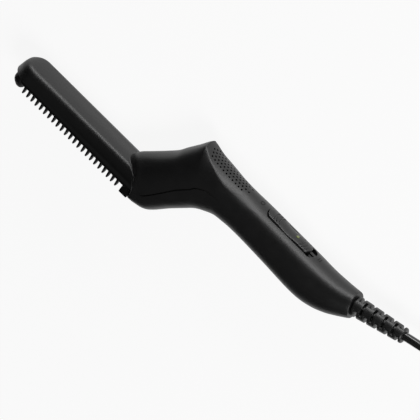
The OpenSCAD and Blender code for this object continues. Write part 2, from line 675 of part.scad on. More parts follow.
// Slide switch on the board, with its lever in the cap's pocket
switch_h = 3.6;
switch_half = 3.4;
switch_x0 = lever_x - lever_len / 2 - 2.2;
switch_x1 = lever_x + lever_len / 2 + travel + 2.2;
module slide_switch() color([0.3, 0.3, 0.32]) placed() difference() {
  block([switch_x0, board_top, -switch_half], [switch_x1, board_top + switch_h, switch_half]);
  block([lever_x - lever_len / 2 - 0.2, board_top + 1.6, -lever_w / 2 - 0.2],
        [lever_x + lever_len / 2 + travel + 0.2, board_top + switch_h + 1, lever_w / 2 + 0.2]);
}
module switch_lever() color([0.9, 0.9, 0.88]) placed()
  block([lever_x - lever_len / 2, board_top + 1.9, -lever_w / 2],
        [lever_x + lever_len / 2, plate_top - plate_t - 0.25, lever_w / 2]);

led_r = 1.5;
led_x = lens_x + travel / 2;
module indicator_led() color([0.75, 0.85, 0.6]) placed()
  translate([led_x, board_top, 0]) rotate([-90, 0, 0]) rotate_extrude() polygon([
    [0, 0], [led_r + 0.35, 0], [led_r + 0.35, 1], [led_r, 1], [led_r, 3.3],
    [led_r - 0.2, 4], [led_r - 0.7, 4.5], [0, 4.8]]);

module control_board() color([0.1, 0.35, 0.18]) placed() difference() {
  block([board_x0, board_top - board_t, -board_half], [board_x1, board_top, board_half]);
  for (p = board_posts) post(p[0], board_top - board_t - 1, board_top + 1, 0, board_screw_r + 0.2);
}
module board_screws() color([0.75, 0.75, 0.77]) placed()
  for (p = board_posts) {
    post(p[0], board_top - board_t - 1.3, board_top - board_t, 0, 1.9);
    post(p[0], board_top - board_t - 0.1, board_top + 4, 0, board_screw_r);
  }

board_low = board_top - board_t;
module film_capacitor() color([0.75, 0.62, 0.2]) placed()
  block([board_x1 - 24, board_low - 9, -6.5], [board_x1 - 18.5, board_low, 6.5]);
triac_x0 = slot_x0 + 3.6;
triac_len = 11;
module power_triac() color([0.12, 0.12, 0.13]) placed() {
  block([triac_x0, board_low - 2.8, -4], [triac_x0 + triac_len, board_low, 4]);
  for (z = [-2.3, 0, 2.3])
    block([triac_x0 + triac_len - 0.1, board_low - 1.6, z - 0.4],
          [triac_x0 + triac_len + 4, board_low - 1, z + 0.4]);
}

// Leads from the cord's inner end round the rear boss to the board
module mains_leads() color([0.45, 0.3, 0.2]) placed() {
  start = end_mid + tail_in * end_out;
  for (s = [-1, 1]) tube([
    [start.x, start.y, s * 1.2], [start.x - 1.5 * end_out.x, start.y - 1.5 * end_out.y, s * 1.2],
    [start.x - 2.6, start.y - 0.6, s * 2.3], [start.x - 3.6, start.y - 0.8, s * 3.9],
    [start.x - 5.5, start.y - 1, s * 5], [start.x - 8.5, start.y - 1.2, s * 5.3],
    [board_x1 + 1.6, board_top + 2.2, s * 5.3],
    [board_x1 - 0.2, board_top + 1.9, s * 5.3], [board_x1 - 1.2, board_top + 1, s * 5.3],
    [board_x1 - 1.2, board_top, s * 5.3]], lead_r, 8);
}

module cord_clamp() color([0.2, 0.2, 0.22]) placed() along_cord() difference() {
  block([clamp_x - clamp_w / 2, -cord_r - 2, -clamp_z - 2.3], [clamp_x + clamp_w / 2, -cord_r, clamp_z + 2.3]);
  for (z = [-clamp_z, clamp_z]) post(clamp_x, -cord_r - 3, 0, z, clamp_screw_r + 0.2);
}
module clamp_screws() color([0.75, 0.75, 0.77]) placed() along_cord()
  for (z = [-clamp_z, clamp_z]) {
    post(clamp_x, -cord_r - 3.4, -cord_r - 2, z, 2);
    post(clamp_x, -cord_r - 2.1, 1.8, z, clamp_screw_r);
  }
module housing_screws() color([0.3, 0.3, 0.32]) placed()
  for (s = screw_sites) at_screw(s) difference() {
    union() {
      post(0, -s[2] + pit_depth - screw_head_h, -s[2] + pit_depth, 0, screw_head_r);
      post(0, -s[2] + pit_depth - 0.1, 8.4, 0, screw_r);
    }
    for (a = [0, 90]) translate([0, -s[2] + pit_depth - screw_head_h, 0]) rotate([0, a, 0])
      block([-1.5, -1, -0.35], [1.5, 1, 0.35]);
  }

module cord_tail() color([0.09, 0.09, 0.1]) placed() along_cord()
  translate([tail_in, 0, 0]) rotate([0, 90, 0]) cylinder(r = cord_r - running, h = relief_len - tail_in);

// Strain relief: a tapered sleeve, cut from the back and front and from the
// sides in turn, with a neck and a flange inside the casing
relief_core = cord_r + 0.9;
relief_collar = 3;
relief_step = (relief_len - relief_collar - relief_slot - 2.1) / 4;
module strain_relief() color([0.12, 0.12, 0.13]) placed() along_cord() difference() {
  rotate([0, 90, 0]) rotate_extrude() polygon([
    [0, -wall - 2], [flange_r, -wall - 2], [flange_r, -wall - running], [relief_neck_r, -wall - running],
    [relief_neck_r, 0.3], [relief_d / 2 - 0.6, 0.3], [relief_d / 2, 0.8],
    [relief_end_d / 2, relief_len - 0.4], [relief_end_d / 2 - 0.4, relief_len], [0, relief_len]]);
  rotate([0, 90, 0]) translate([0, 0, -8]) cylinder(r = cord_r, h = relief_len + 12);
  for (i = [0 : 4], s = [-1, 1]) translate([relief_collar + i * relief_step, s * (relief_core + 5) - 5, -10])
    cube([relief_slot, 10, 20]);
  for (i = [0 : 3], s = [-1, 1])
    translate([relief_collar + (i + 0.5) * relief_step, -10, s * (relief_core + 5) - 5])
      cube([relief_slot, 20, 10]);
}

// Route of the free cord from the strain relief down to the hank. All its
// points are measured from the head's tip, like the casing's.
ground = -rest_h;
cord_start = concat(relief_end, [0]);
cord_lead = concat(relief_end + 5 * end_out, [0]);
cord_route = [cord_start, cord_lead,
  [292, 48, -0.2], [296, 48.6, -0.8], [300, 49.1, -1.7], [304, 49.5, -2.9], [308, 49.8, -4.3],
  [312, 50, -5.7], [316, 50, -7], [320, 49.8, -8.1], [324, 49.5, -9], [328, 49.1, -9.6],
  [332, 48.7, -9.9], [337, 48.4, ground + cord_r], [342, 48.2, ground + cord_r],
  [348, 48.2, ground + cord_r]];
module power_cord() color([0.06, 0.06, 0.07]) placed() tube(cord_route, cord_r, 8);

// Hank of the length that is put away: two layers that spiral in and out
// again, drawn in where the tie holds them. One turn is four phases: a run,
// a fold, the run back and the near fold.
run_len = 85.6;
turn_step = 6.2;
fold_r = 15.4;
phases = 21;
middle = phases / 2;
draw_in = 9;
layer_rise = cord_d + 0.5;
tie_lift = 1.5;
hank_start = cord_route[len(cord_route) - 1];
hank_y = fold_r + turn_step / 4 * middle;
hank_mid = [hank_start.x + cord_d + run_len / 2, hank_start.y - hank_y];
function radius_at(p) = fold_r + turn_step / 4 * sqrt(pow(p - middle, 2) + 0.06);
function ease(t) = let (c = max(0, min(1, t))) c * c * (3 - 2 * c);
function waist(x) = pow(cos(180 * x / run_len), 2);
function hank_point(p) =
  let (k = floor(p) % 4, t = p - floor(p), r = radius_at(p),
       x = k == 0 ? (t - 0.5) * run_len : (0.5 - t) * run_len,
       high = layer_rise * ease(p - middle + 0.5),
       in = k % 2 == 0 ? draw_in * waist(x) : 0,
       lift = k % 2 == 0 ? tie_lift * waist(x) : 0,
       flat = k == 0 ? [x, r - in] : k == 2 ? [x, in - r]
         : k == 1 ? [run_len / 2 + r * sin(180 * t), r * cos(180 * t)]
         : [-run_len / 2 - r * sin(180 * t), -r * cos(180 * t)])
  [hank_mid.x + flat.x, hank_mid.y + flat.y, ground + cord_r + high + lift];
plug_half_t = 6.85;
tail_x = hank_mid.x + run_len / 2;
tail_z = hank_point(phases - 0.001).z;
plug_z = ground + plug_half_t;
plug_x = tail_x + 40;
plug_y = hank_start.y - 8;
hank_tail = [[tail_x + 6, hank_start.y - 0.2, tail_z], [tail_x + 13, hank_start.y - 1.7, tail_z - 0.3],
  [tail_x + 20, hank_start.y - 4, tail_z - 0.9], [tail_x + 27, hank_start.y - 6.3, plug_z + 0.3],
  [tail_x + 34, hank_start.y - 7.8, plug_z], [plug_x, plug_y, plug_z]];
rings_per_phase = 6;
function hank_route(n) = concat([hank_start, hank_start + [cord_d - 1, 0, 0]],
  [for (i = [1 : phases * n]) hank_point(min(i / n, phases - 0.001))], hank_tail);
function steps(r) = [for (i = [1 : len(r) - 1]) norm(r[i] - r[i - 1])];
function total(v, i = 0) = i < len(v) ? v[i] + total(v, i + 1) : 0;
function least_gap(r, skip) =
  min([for (i = [0 : len(r) - 1 - skip]) min([for (j = [i + skip : len(r) - 1]) norm(r[i] - r[j])])]);
module cord_hank() color([0.06, 0.06, 0.07]) placed() {
  fine = hank_route(12);
  echo(least_gap = least_gap(fine, 12) - cord_d);
  echo(cord_length = total(steps(cord_route)) + total(steps(fine)));
  tube(hank_route(rings_per_phase), cord_r, 6);
}

// Tie round the hank's waist
tie_t = 1.2;
tie_len = 10;
module rounded(low, high, r) {
  size = high - low;
  translate(low + [r, 0]) square([size.x - 2 * r, size.y]);
  translate(low + [0, r]) square([size.x, size.y - 2 * r]);
  for (x = [low.x + r, high.x - r], y = [low.y + r, high.y - r]) translate([x, y]) circle(r);
}
module hank_tie() color([0.05, 0.05, 0.05]) placed() {
  flare = draw_in * (1 - waist(run_len / rings_per_phase)) * tie_len / 2 / (run_len / rings_per_phase);
  inner_lo = [-(radius_at(2.5) - draw_in + flare + cord_r + loose), tie_t];
  inner_hi = [radius_at(0.5) - draw_in + flare + cord_r + loose, cord_d + layer_rise + tie_lift + 0.2];
  translate([hank_mid.x - tie_len / 2, hank_mid.y, ground]) rotate([90, 0, 90]) linear_extrude(tie_len)
    difference() {
      rounded(inner_lo - [tie_t, tie_t], inner_hi + [tie_t, tie_t], cord_r + loose + tie_t);
      rounded(inner_lo, inner_hi, cord_r + loose);
    }
}

// Flat two-pin plug, lying on the ground
plug_relief_len = 16;
plug_len = 36;
plug_w = 35.3;
pin_pitch = 18.6;
pin_len = 19;
pin_r = 2;
module at_plug() {
  translate([plug_x, plug_y, plug_z]) children();
}
module plug_relief() color([0.06, 0.06, 0.07]) placed() at_plug() rotate([0, 90, 0]) rotate_extrude() {
  polygon([[0, 0], [cord_r + 0.9, 0], [cord_r + 2.2, plug_relief_len], [0, plug_relief_len]]);
  for (i = [0 : 4]) translate([0, 1 + i * 3.1]) square([cord_r + 1.7 + i * 0.27, 1.5]);
}
module plug_body() color([0.07, 0.07, 0.08]) placed() at_plug() translate([plug_relief_len, 0, 0])
  intersection() {
    translate([0, 0, -plug_half_t]) linear_extrude(2 * plug_half_t) polygon([
      [0, -7.5], [0, 7.5], [7, 9], [20, plug_w / 2], [plug_len - 3, plug_w / 2], [plug_len, plug_w / 2 - 2],
      [plug_len, 2 - plug_w / 2], [plug_len - 3, -plug_w / 2], [20, -plug_w / 2], [7, -9]]);
    rotate([90, 0, 90]) linear_extrude(plug_len) polygon([
      [-plug_w / 2, -3.2], [-plug_w / 2 + 3, -plug_half_t], [plug_w / 2 - 3, -plug_half_t], [plug_w / 2, -3.2],
      [plug_w / 2, 3.2], [plug_w / 2 - 3, plug_half_t], [3 - plug_w / 2, plug_half_t], [-plug_w / 2, 3.2]]);
  }
module plug_pins() color([0.8, 0.78, 0.7]) placed() at_plug()
  for (s = [-1, 1]) translate([plug_relief_len + plug_len, s * pin_pitch / 2, 0]) rotate([0, 90, 0])
    rotate_extrude() polygon([
      [0, 0], [pin_r, 0], [pin_r, pin_len - 1.2], [pin_r - 0.9, pin_len], [0, pin_len]]);

back_shell();
front_shell();
comb_guard();
heating_comb();
ptc_heater();
mica_sheet();
heater_spring();
thermal_fuse();
temperature_sensor();
heater_leads();
sensor_leads();
switch_cap();
indicator_lens();
switch_lever();
slide_switch();
indicator_led();
control_board();
film_capacitor();
power_triac();
board_screws();
mains_leads();
cord_clamp();
clamp_screws();
housing_screws();
cord_tail();
strain_relief();
power_cord();
cord_hank();
hank_tie();
plug_relief();
plug_body();
plug_pins();
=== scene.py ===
"""Looks of the heated straightening comb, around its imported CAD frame.

Lengths here are millimetres along the comb (u, from the head's tip), towards its
back (v) and across it (w), and are turned into metres of the row's frame.
"""

import math

import bmesh
import bpy
import numpy as np
from mathutils import Matrix, Vector


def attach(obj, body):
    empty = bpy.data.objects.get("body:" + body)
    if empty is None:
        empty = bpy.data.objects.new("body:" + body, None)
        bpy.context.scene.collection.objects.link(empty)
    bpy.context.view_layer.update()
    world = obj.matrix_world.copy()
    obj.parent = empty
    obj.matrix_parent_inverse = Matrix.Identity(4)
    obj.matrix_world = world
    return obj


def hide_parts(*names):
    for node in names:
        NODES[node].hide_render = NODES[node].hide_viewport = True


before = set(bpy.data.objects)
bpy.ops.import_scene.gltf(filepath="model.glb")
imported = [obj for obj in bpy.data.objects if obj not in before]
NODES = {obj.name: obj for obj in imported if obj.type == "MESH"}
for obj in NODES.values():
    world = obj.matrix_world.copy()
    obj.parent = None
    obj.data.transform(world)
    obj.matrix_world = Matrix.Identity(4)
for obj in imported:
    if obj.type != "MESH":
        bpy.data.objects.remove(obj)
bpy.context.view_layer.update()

# Sizes of the comb as the photo shows it, a few of them refined from the part's own
HEAD_LEN, HEAD_W, HEAD_DEPTH, HEAD_FOOT, HEAD_ROUND, HEAD_DROP = 84.5, 21.4, 11.5, 100.5, 3.4, 0.4
NECK_ANGLE, NECK_DEPTH, NECK_W, ELBOW_STEP, RIDGE_H = 46.8, 33.6, 25.6, 3.0, 4.0
HANDLE_RISE, WAIST_DEPTH, BELLY_DEPTH, HANDLE_W = 42.1, 26.2, 27.9, 24.8
BODY_LEN, END_D, END_TILT, END_DROP, END_LEAN, WALL = 248.2, 17.0, 15.5, 5.3, 1.2, 1.8
PART_DROP = 13.7
VENT_D, VENT_PITCH, VENT_ROWS, VENT_COUNT = 1.25, 2.62, 5, 12
FLANGE_H, TOOTH_LEN, TOOTH_PITCH, CHANNEL_W = 3.2, 5.2, 3.56, 8.8
SLOT_LEN, SLOT_W, SLOT_RISE, SLOT_TO_END, TRAVEL = 39.2, 10.0, 3.0, 37.0, 3.8
CAP_PROUD, LENS_D = 0.8, 2.3
CORD_D, RELIEF_LEN, RELIEF_D, RELIEF_END_D, RELIEF_SLOT = 5.4, 35.5, 12.8, 10.0, 2.5
SLIDING, LOOSE, RUNNING = 0.35, 0.3, 0.05

HEAD_HALF, NECK_HALF, HANDLE_HALF, CORD_R = HEAD_W / 2, NECK_W / 2, HANDLE_W / 2, CORD_D / 2


def rad(a):
    return math.radians(a)


NECK_DIR = np.array([math.cos(rad(NECK_ANGLE)), math.sin(rad(NECK_ANGLE))])
NECK_BACK = np.array([-NECK_DIR[1], NECK_DIR[0]])
NECK_FOOT = np.array([HEAD_LEN + NECK_DEPTH / 2 / math.sin(rad(NECK_ANGLE)), 0])
ELBOW_X = HEAD_LEN + HANDLE_RISE / math.tan(rad(NECK_ANGLE))
END_MID = np.array([BODY_LEN, HANDLE_RISE - END_DROP])
END_OUT = np.array([math.cos(rad(END_TILT)), math.sin(rad(END_TILT))])
END_UP = np.array([-END_OUT[1], END_OUT[0]])
# End of the casing and run of the cord in the part's source, where its inner pieces stay
SOURCE_END = np.array([248.8, 38.9])
SOURCE_OUT = np.array([math.cos(rad(12)), math.sin(rad(12))])
PART_V = HANDLE_RISE - PART_DROP
WAIST_V = HANDLE_RISE - WAIST_DEPTH
BELLY_V = HANDLE_RISE - BELLY_DEPTH
TIP_LEAD, TIP_REACH, TIP_ROUND = 1.5, -0.2, 5.8
NECK_OFF = NECK_DEPTH / 2


def at_neck(along, off):
    return NECK_FOOT + along * NECK_DIR + off * NECK_BACK


def at_elbow(along, off):
    return np.array([ELBOW_X + along, HANDLE_RISE + off])


def at_end(along, off):
    return np.array([BODY_LEN + along, HANDLE_RISE + off])


# Places of a rib's values: its points on the parting line, the back and the front, then
# half width, squareness behind and in front of the parting line, half width of the deck,
# how softly the deck meets the sides, bow along the casing, and share of a rounded corner
PART, BACK, FRONT = slice(0, 2), slice(2, 4), slice(4, 6)
HALF, SQUARE, SQUARE_FRONT, DECK, SOFT, BOW, CORNER = range(6, 13)


def rib(part, back, front, half, square, square_front, deck, soft, bow=0, corner=0):
    return np.array([*part, *back, *front, half, square, square_front, deck, soft, bow, corner], float)


KEY_RIBS = [
    rib((HEAD_FOOT + 0.8, -HEAD_DEPTH), (HEAD_LEN + 0.6, -HEAD_DROP), (HEAD_FOOT + 1, -HEAD_DEPTH - 6.8),
        HEAD_HALF, 8, 5, HEAD_HALF - HEAD_ROUND, 1, 8, 1),
    rib((HEAD_FOOT + 1.2, -HEAD_DEPTH), (HEAD_LEN + 1.2, 0.2), (HEAD_FOOT + 1.4, -HEAD_DEPTH - 7.2),
        NECK_HALF - 1.1, 3.6, 4, 5, 1, 12),
    rib(at_neck(-8.4, -4.6), at_neck(-10, NECK_OFF + 0.5), (HEAD_FOOT + 6.4, -HEAD_DEPTH - 7.3),
        NECK_HALF - 0.8, 3.6, 3.4, 5, 1, 8),
    rib(at_neck(-3.4, -5.8), at_neck(-4, NECK_OFF + 0.7), at_neck(-6.6, -0.3 - NECK_OFF),
        NECK_HALF - 0.4, 2.6, 2.6, 5, 1, 3),
    rib(at_neck(9.5, -4), at_neck(9, NECK_OFF + 0.8), at_neck(9, 0.3 - NECK_OFF),
        NECK_HALF, 2.5, 2.5, 5, 1),
    rib(at_neck(19, -2.4), at_neck(17.6, NECK_OFF + 1.3), at_neck(19, 0.4 - NECK_OFF),
        NECK_HALF, 2.5, 2.5, 5, 1),
    rib(at_neck(25, -2), at_neck(24.6, NECK_OFF + ELBOW_STEP), at_neck(25, 0.4 - NECK_OFF),
        NECK_HALF, 2.4, 2.5, 4.4, 1),
    rib(at_neck(29.5, -1.9), at_neck(33, NECK_OFF + 4.7), (ELBOW_X + 16.3, WAIST_V - 6.1),
        NECK_HALF - 0.03, 2.2, 2.5, 4.4, 0.7),
    rib(at_elbow(6.7, -19.2), at_elbow(-5.4, RIDGE_H - 0.1), (ELBOW_X + 20.5, WAIST_V - 3.9),
        NECK_HALF - 0.06, 2, 2.5, 5, 0.5),
    rib(at_elbow(8.7, -17.4), at_elbow(-3.4, RIDGE_H + 0.2), (ELBOW_X + 23.1, WAIST_V - 2.6),
        NECK_HALF - 0.1, 2, 2.5, 5.6, 0.48),
    rib(at_elbow(13.7, -14.4), at_elbow(4.2, 1.4), (ELBOW_X + 26.7, WAIST_V - 1.4),
        NECK_HALF - 0.2, 2, 2.5, 7.8, 0.52),
    rib(at_elbow(21.7, -13.2), at_elbow(17.2, 0.2), (ELBOW_X + 31.7, WAIST_V - 0.7),
        HANDLE_HALF + 0.1, 2.1, 2.5, 10.2, 0.6),
    rib(at_elbow(33.7, -13.2), at_elbow(33.7, 0.1), (ELBOW_X + 37.7, WAIST_V - 0.2),
        HANDLE_HALF, 2.4, 2.4, 8.4, 1),
    rib((ELBOW_X + 47.7, PART_V), at_elbow(47.7, 0), (ELBOW_X + 47.7, WAIST_V),
        HANDLE_HALF, 2.5, 2.4, 7, 1),
    rib(at_end(-58.2, -13.9), at_end(-58.2, 0), (BODY_LEN - 58.2, BELLY_V + 1),
        HANDLE_HALF, 2.5, 2.4, 7, 1),
    rib(at_end(-36.2, -14.1), at_end(-36.2, 0), (BODY_LEN - 36.2, BELLY_V - 0.2),
        HANDLE_HALF, 2.5, 2.4, 7, 1),
    rib(at_end(-24.2, -13.1), at_end(-24.7, 0), (BODY_LEN - 23.2, BELLY_V + 0.9),
        HANDLE_HALF - 0.6, 2.4, 2.3, 6.4, 1),
    rib(at_end(-12.2, -10.4), at_end(-13.6, 0.8), (BODY_LEN - 10.8, BELLY_V + 5.8),
        HANDLE_HALF - 1.6, 2.3, 2.2, 5, 1),
    rib(END_MID, END_MID + END_D / 2 * END_UP - END_LEAN * END_OUT, END_MID - END_D / 2 * END_UP,
        END_D / 2, 2.1, 2.1, 3, 1),
]


def blend(a, b, c, d, t):
    """Catmull-Rom value between b and c."""
    return 0.5 * (2 * b + (c - a) * t + (2 * a - 5 * b + 4 * c - d) * t * t
                  + (3 * b - a - 3 * c + d) * t ** 3)


def between(rows, i, t):
    return blend(rows[max(0, i - 1)], rows[i], rows[i + 1], rows[min(len(rows) - 1, i + 2)], t)


RIB_STEPS = 8
LAST_KEY = len(KEY_RIBS) - 1
# Height of the comb's middle over the floor, on which its widest rib rests
REST_H = max(r[HALF] for i in range(LAST_KEY) for r in (KEY_RIBS[i], between(KEY_RIBS, i, 0.5)))


def tip_rib(a, skin):
    """Rib of the head's round tip, at an angle round its plan."""
    c, s = math.cos(rad(a)), math.sin(rad(a))
    r = HEAD_HALF - skin
    u = HEAD_HALF - (r + TIP_REACH) * c
    low = u - TIP_LEAD * c
    round_v = skin + TIP_ROUND * max(0, 1 - s) ** 1.4
    return rib((low, -HEAD_DEPTH), (u, -HEAD_DROP - round_v), (low, -HEAD_DEPTH - 1),
               r * s, 8 - 4 * c, 2, r * s * (1 - HEAD_ROUND / HEAD_HALF), 1, 0, 1)


RELIEF_END = END_MID + RELIEF_LEN * END_OUT
TEETH_V = -HEAD_DEPTH - FLANGE_H - TOOTH_LEN
# Place in the row's frame of the comb's zero point, as in the part's source
ORIGIN = np.array([-141.842, -16.2734, 12.825])


def metres(points):
    return (np.asarray(points, float).reshape(-1, 3) + ORIGIN) / 1000


# Camera and stage
PX_PER_MM = 1.705
IMAGE = 420
VIEW_MID = (143.53, 11.334, 0.0)
VIEW_RIGHT = Vector((1.1827, 0.8388, -0.8970)).normalized()
VIEW_UP = Vector((-1.1827, 1.1114, -0.5208)).normalized()
VIEW_DIST = 9.0


def make_camera():
    data = bpy.data.cameras.new("camera")
    cam = bpy.data.objects.new("camera", data)
    bpy.context.collection.objects.link(cam)
    back = VIEW_RIGHT.cross(VIEW_UP).normalized()
    up = back.cross(VIEW_RIGHT)
    turn = Matrix((VIEW_RIGHT, up, back)).transposed()
    place = Vector(metres(VIEW_MID)[0]) + back * VIEW_DIST
    cam.matrix_world = Matrix.Translation(place) @ turn.to_4x4()
    data.sensor_width = 36
    data.lens = data.sensor_width * VIEW_DIST * 1000 * PX_PER_MM / IMAGE
    data.clip_start, data.clip_end = 0.1, 60
    bpy.context.scene.camera = cam


make_camera()


# Materials
def nodes_of(mat):
    mat.use_nodes = True
    tree = mat.node_tree
    return tree, tree.nodes, tree.links


def math_node(tree, operation, *values):
    """Output of a math node that takes sockets or numbers."""
    node = tree.nodes.new("ShaderNodeMath")
    node.operation = operation
    for socket, value in zip(node.inputs, values):
        if isinstance(value, float):
            socket.default_value = value
        else:
            tree.links.new(value, socket)
    return node.outputs[0]


GLOSS_SPREAD, GRAIN_HEIGHT = 0.04, 0.0001


def moulded(name, colour, rough, grain=0.25, bump=0.10, spread=0.12, coat=0.0, metallic=0.0,
            streak=None, spec=0.5, blotch=6.0, coat_rough=0.15):
    """Moulded or metal surface: a fine grain in relief, slow changes of tone and gloss."""
    mat = bpy.data.materials.new(name)
    tree, nodes, links = nodes_of(mat)
    shader = nodes["Principled BSDF"]
    shader.inputs["Metallic"].default_value = metallic
    shader.inputs["Specular IOR Level"].default_value = spec
    shader.inputs["Coat Weight"].default_value = coat
    shader.inputs["Coat Roughness"].default_value = coat_rough
    coords = nodes.new("ShaderNodeTexCoord")
    scale = nodes.new("ShaderNodeMapping")
    scale.inputs["Scale"].default_value = streak or (1, 1, 1)
    links.new(coords.outputs["Object"], scale.inputs["Vector"])

    slow = nodes.new("ShaderNodeTexNoise")
    slow.inputs["Scale"].default_value = 1000 / blotch
    slow.inputs["Detail"].default_value = 4
    fine = nodes.new("ShaderNodeTexNoise")
    fine.inputs["Scale"].default_value = 1000 / grain
    fine.inputs["Detail"].default_value = 2
    for n in (slow, fine):
        links.new(scale.outputs["Vector"], n.inputs["Vector"])

    tone = nodes.new("ShaderNodeValToRGB")
    tone.color_ramp.elements[0].position, tone.color_ramp.elements[1].position = 0.3, 0.7
    tone.color_ramp.elements[0].color = (*[c * (1 - spread) for c in colour], 1)
    tone.color_ramp.elements[1].color = (*[c * (1 + spread) for c in colour], 1)
    links.new(slow.outputs["Fac"], tone.inputs["Fac"])
    links.new(tone.outputs["Color"], shader.inputs["Base Color"])

    gloss = nodes.new("ShaderNodeMapRange")
    gloss.inputs["From Min"].default_value, gloss.inputs["From Max"].default_value = 0.3, 0.7
    gloss.inputs["To Min"].default_value = rough - GLOSS_SPREAD
    gloss.inputs["To Max"].default_value = rough + GLOSS_SPREAD
    mixed = math_node(tree, "ADD", math_node(tree, "MULTIPLY", fine.outputs["Fac"], 0.5),
                      math_node(tree, "MULTIPLY", slow.outputs["Fac"], 0.5))
    links.new(mixed, gloss.inputs["Value"])
    links.new(gloss.outputs["Result"], shader.inputs["Roughness"])

    relief = nodes.new("ShaderNodeBump")
    relief.inputs["Strength"].default_value = bump
    relief.inputs["Distance"].default_value = GRAIN_HEIGHT
    links.new(fine.outputs["Fac"], relief.inputs["Height"])
    links.new(relief.outputs["Normal"], shader.inputs["Normal"])
    return mat


# Colour, roughness and other looks of each material
LOOKS = {
    "soft_black": ((0.0028, 0.0028, 0.0029), 0.41, dict(grain=0.22, bump=0.25)),
    "guard_black": ((0.002, 0.002, 0.002), 0.5, dict(grain=0.3, bump=0.2, spec=0.25)),
    "switch_black": ((0.0055, 0.0055, 0.0057), 0.36, dict(grain=0.25, bump=0.15)),
    "comb_metal": ((0.72, 0.73, 0.75), 0.34, dict(grain=0.15, bump=0.1, metallic=1, streak=(0.15, 1, 1))),
    "ceramic": ((0.62, 0.57, 0.47), 0.6, dict(grain=0.4, bump=0.2, spread=0.06)),
    "steel": ((0.56, 0.56, 0.57), 0.3, dict(grain=0.2, bump=0.1, metallic=1)),
    "lead_rubber": ((0.5, 0.44, 0.38), 0.45, dict(grain=0.4, bump=0.1)),
    "lens_clear": ((0.1, 0.125, 0.02), 0.2, dict(grain=0.6, bump=0.04, coat=0.6)),
    "inner_plastic": ((0.16, 0.16, 0.17), 0.5, dict(grain=0.3, bump=0.2)),
    "board_green": ((0.02, 0.11, 0.045), 0.3, dict(grain=0.8, bump=0.15, spread=0.3, blotch=3.0)),
    "cord_black": ((0.007, 0.007, 0.007), 0.24, dict(grain=0.5, bump=0.08, coat=0.3)),
    "relief_black": ((0.0055, 0.0055, 0.0055), 0.4, dict(grain=0.3, bump=0.2)),
    "plug_black": ((0.009, 0.009, 0.009), 0.34, dict(grain=0.35, bump=0.15)),
    "pin_metal": ((0.66, 0.64, 0.58), 0.2, dict(grain=0.2, bump=0.05, metallic=1, streak=(1, 0.2, 0.2))),
}
MATS = {name: moulded(name, colour, rough, **more) for name, (colour, rough, more) in LOOKS.items()}

FLOOR_HALF, FLOOR_TONE, FLOOR_WHITE, WORLD_LIGHT = 30, 0.88, 0.9, 0.04


def make_floor():
    """Pale floor that keeps a soft shadow, nearly white to the camera, gloss and glass."""
    mat = bpy.data.materials.new("floor")
    tree, nodes, links = nodes_of(mat)
    nodes.remove(nodes["Principled BSDF"])
    plain = nodes.new("ShaderNodeBsdfDiffuse")
    plain.inputs["Color"].default_value = (FLOOR_TONE, FLOOR_TONE, FLOOR_TONE, 1)
    white = nodes.new("ShaderNodeEmission")
    white.inputs["Strength"].default_value = 1.0
    seen = nodes.new("ShaderNodeMixShader")
    seen.inputs["Fac"].default_value = FLOOR_WHITE
    links.new(plain.outputs[0], seen.inputs[1])
    links.new(white.outputs[0], seen.inputs[2])
    path = nodes.new("ShaderNodeLightPath").outputs
    either = math_node(tree, "MAXIMUM", path["Is Camera Ray"], path["Is Glossy Ray"])
    final = nodes.new("ShaderNodeMixShader")
    links.new(math_node(tree, "MAXIMUM", either, path["Is Transmission Ray"]), final.inputs["Fac"])
    links.new(plain.outputs[0], final.inputs[1])
    links.new(seen.outputs[0], final.inputs[2])
    links.new(final.outputs[0], nodes["Material Output"].inputs["Surface"])

    mesh = bpy.data.meshes.new("floor")
    corners = ((-1, -1), (1, -1), (1, 1), (-1, 1))
    mesh.from_pydata([(x * FLOOR_HALF, y * FLOOR_HALF, 0) for x, y in corners], [], [(0, 1, 2, 3)])
    mesh.materials.append(mat)
    floor = bpy.data.objects.new("floor", mesh)
    bpy.context.collection.objects.link(floor)


def make_world():
    """Faint even light, white to the camera alone."""
    world = bpy.data.worlds.new("studio")
    bpy.context.scene.world = world
    world.use_nodes = True
    nodes, links = world.node_tree.nodes, world.node_tree.links
    back = nodes["Background"]
    back.inputs["Color"].default_value = (1, 1, 1, 1)
    back.inputs["Strength"].default_value = WORLD_LIGHT
    shown = nodes.new("ShaderNodeBackground")
    shown.inputs["Color"].default_value = (1, 1, 1, 1)
    shown.inputs["Strength"].default_value = 1.0
    pick = nodes.new("ShaderNodeMixShader")
    links.new(nodes.new("ShaderNodeLightPath").outputs["Is Camera Ray"], pick.inputs["Fac"])
    links.new(back.outputs[0], pick.inputs[1])
    links.new(shown.outputs[0], pick.inputs[2])
    links.new(pick.outputs[0], nodes["World Output"].inputs["Surface"])


def lamp(name, at, aim, size, power):
    """Rectangular lamp, in metres and watts."""
    data = bpy.data.lights.new(name, "AREA")
    data.shape = "RECTANGLE"
    data.size, data.size_y = size
    data.energy = power
    light = bpy.data.objects.new(name, data)
    light.location = at
    light.rotation_mode = "QUATERNION"
    light.rotation_quaternion = (Vector(aim) - Vector(at)).to_track_quat("-Z", "Y")
    bpy.context.collection.objects.link(light)


make_floor()
make_world()
lamp("backlight_head", (0.05, 1.3, 0.24), (-0.1, 0, 0.1), (1.3, 0.46), 12.5)
lamp("backlight_handle", (-1.0, 1.3, 0.125), (-0.1, 0, 0.1), (0.8, 0.24), 8)
lamp("fill", (1.15, -0.05, 1.1), (0, 0, 0), (0.8, 0.8), 17)
lamp("front", (-0.3, -0.9, 1.25), (0, 0, 0), (1.0, 1.0), 0.27)
bpy.context.scene.view_settings.view_transform = "Standard"


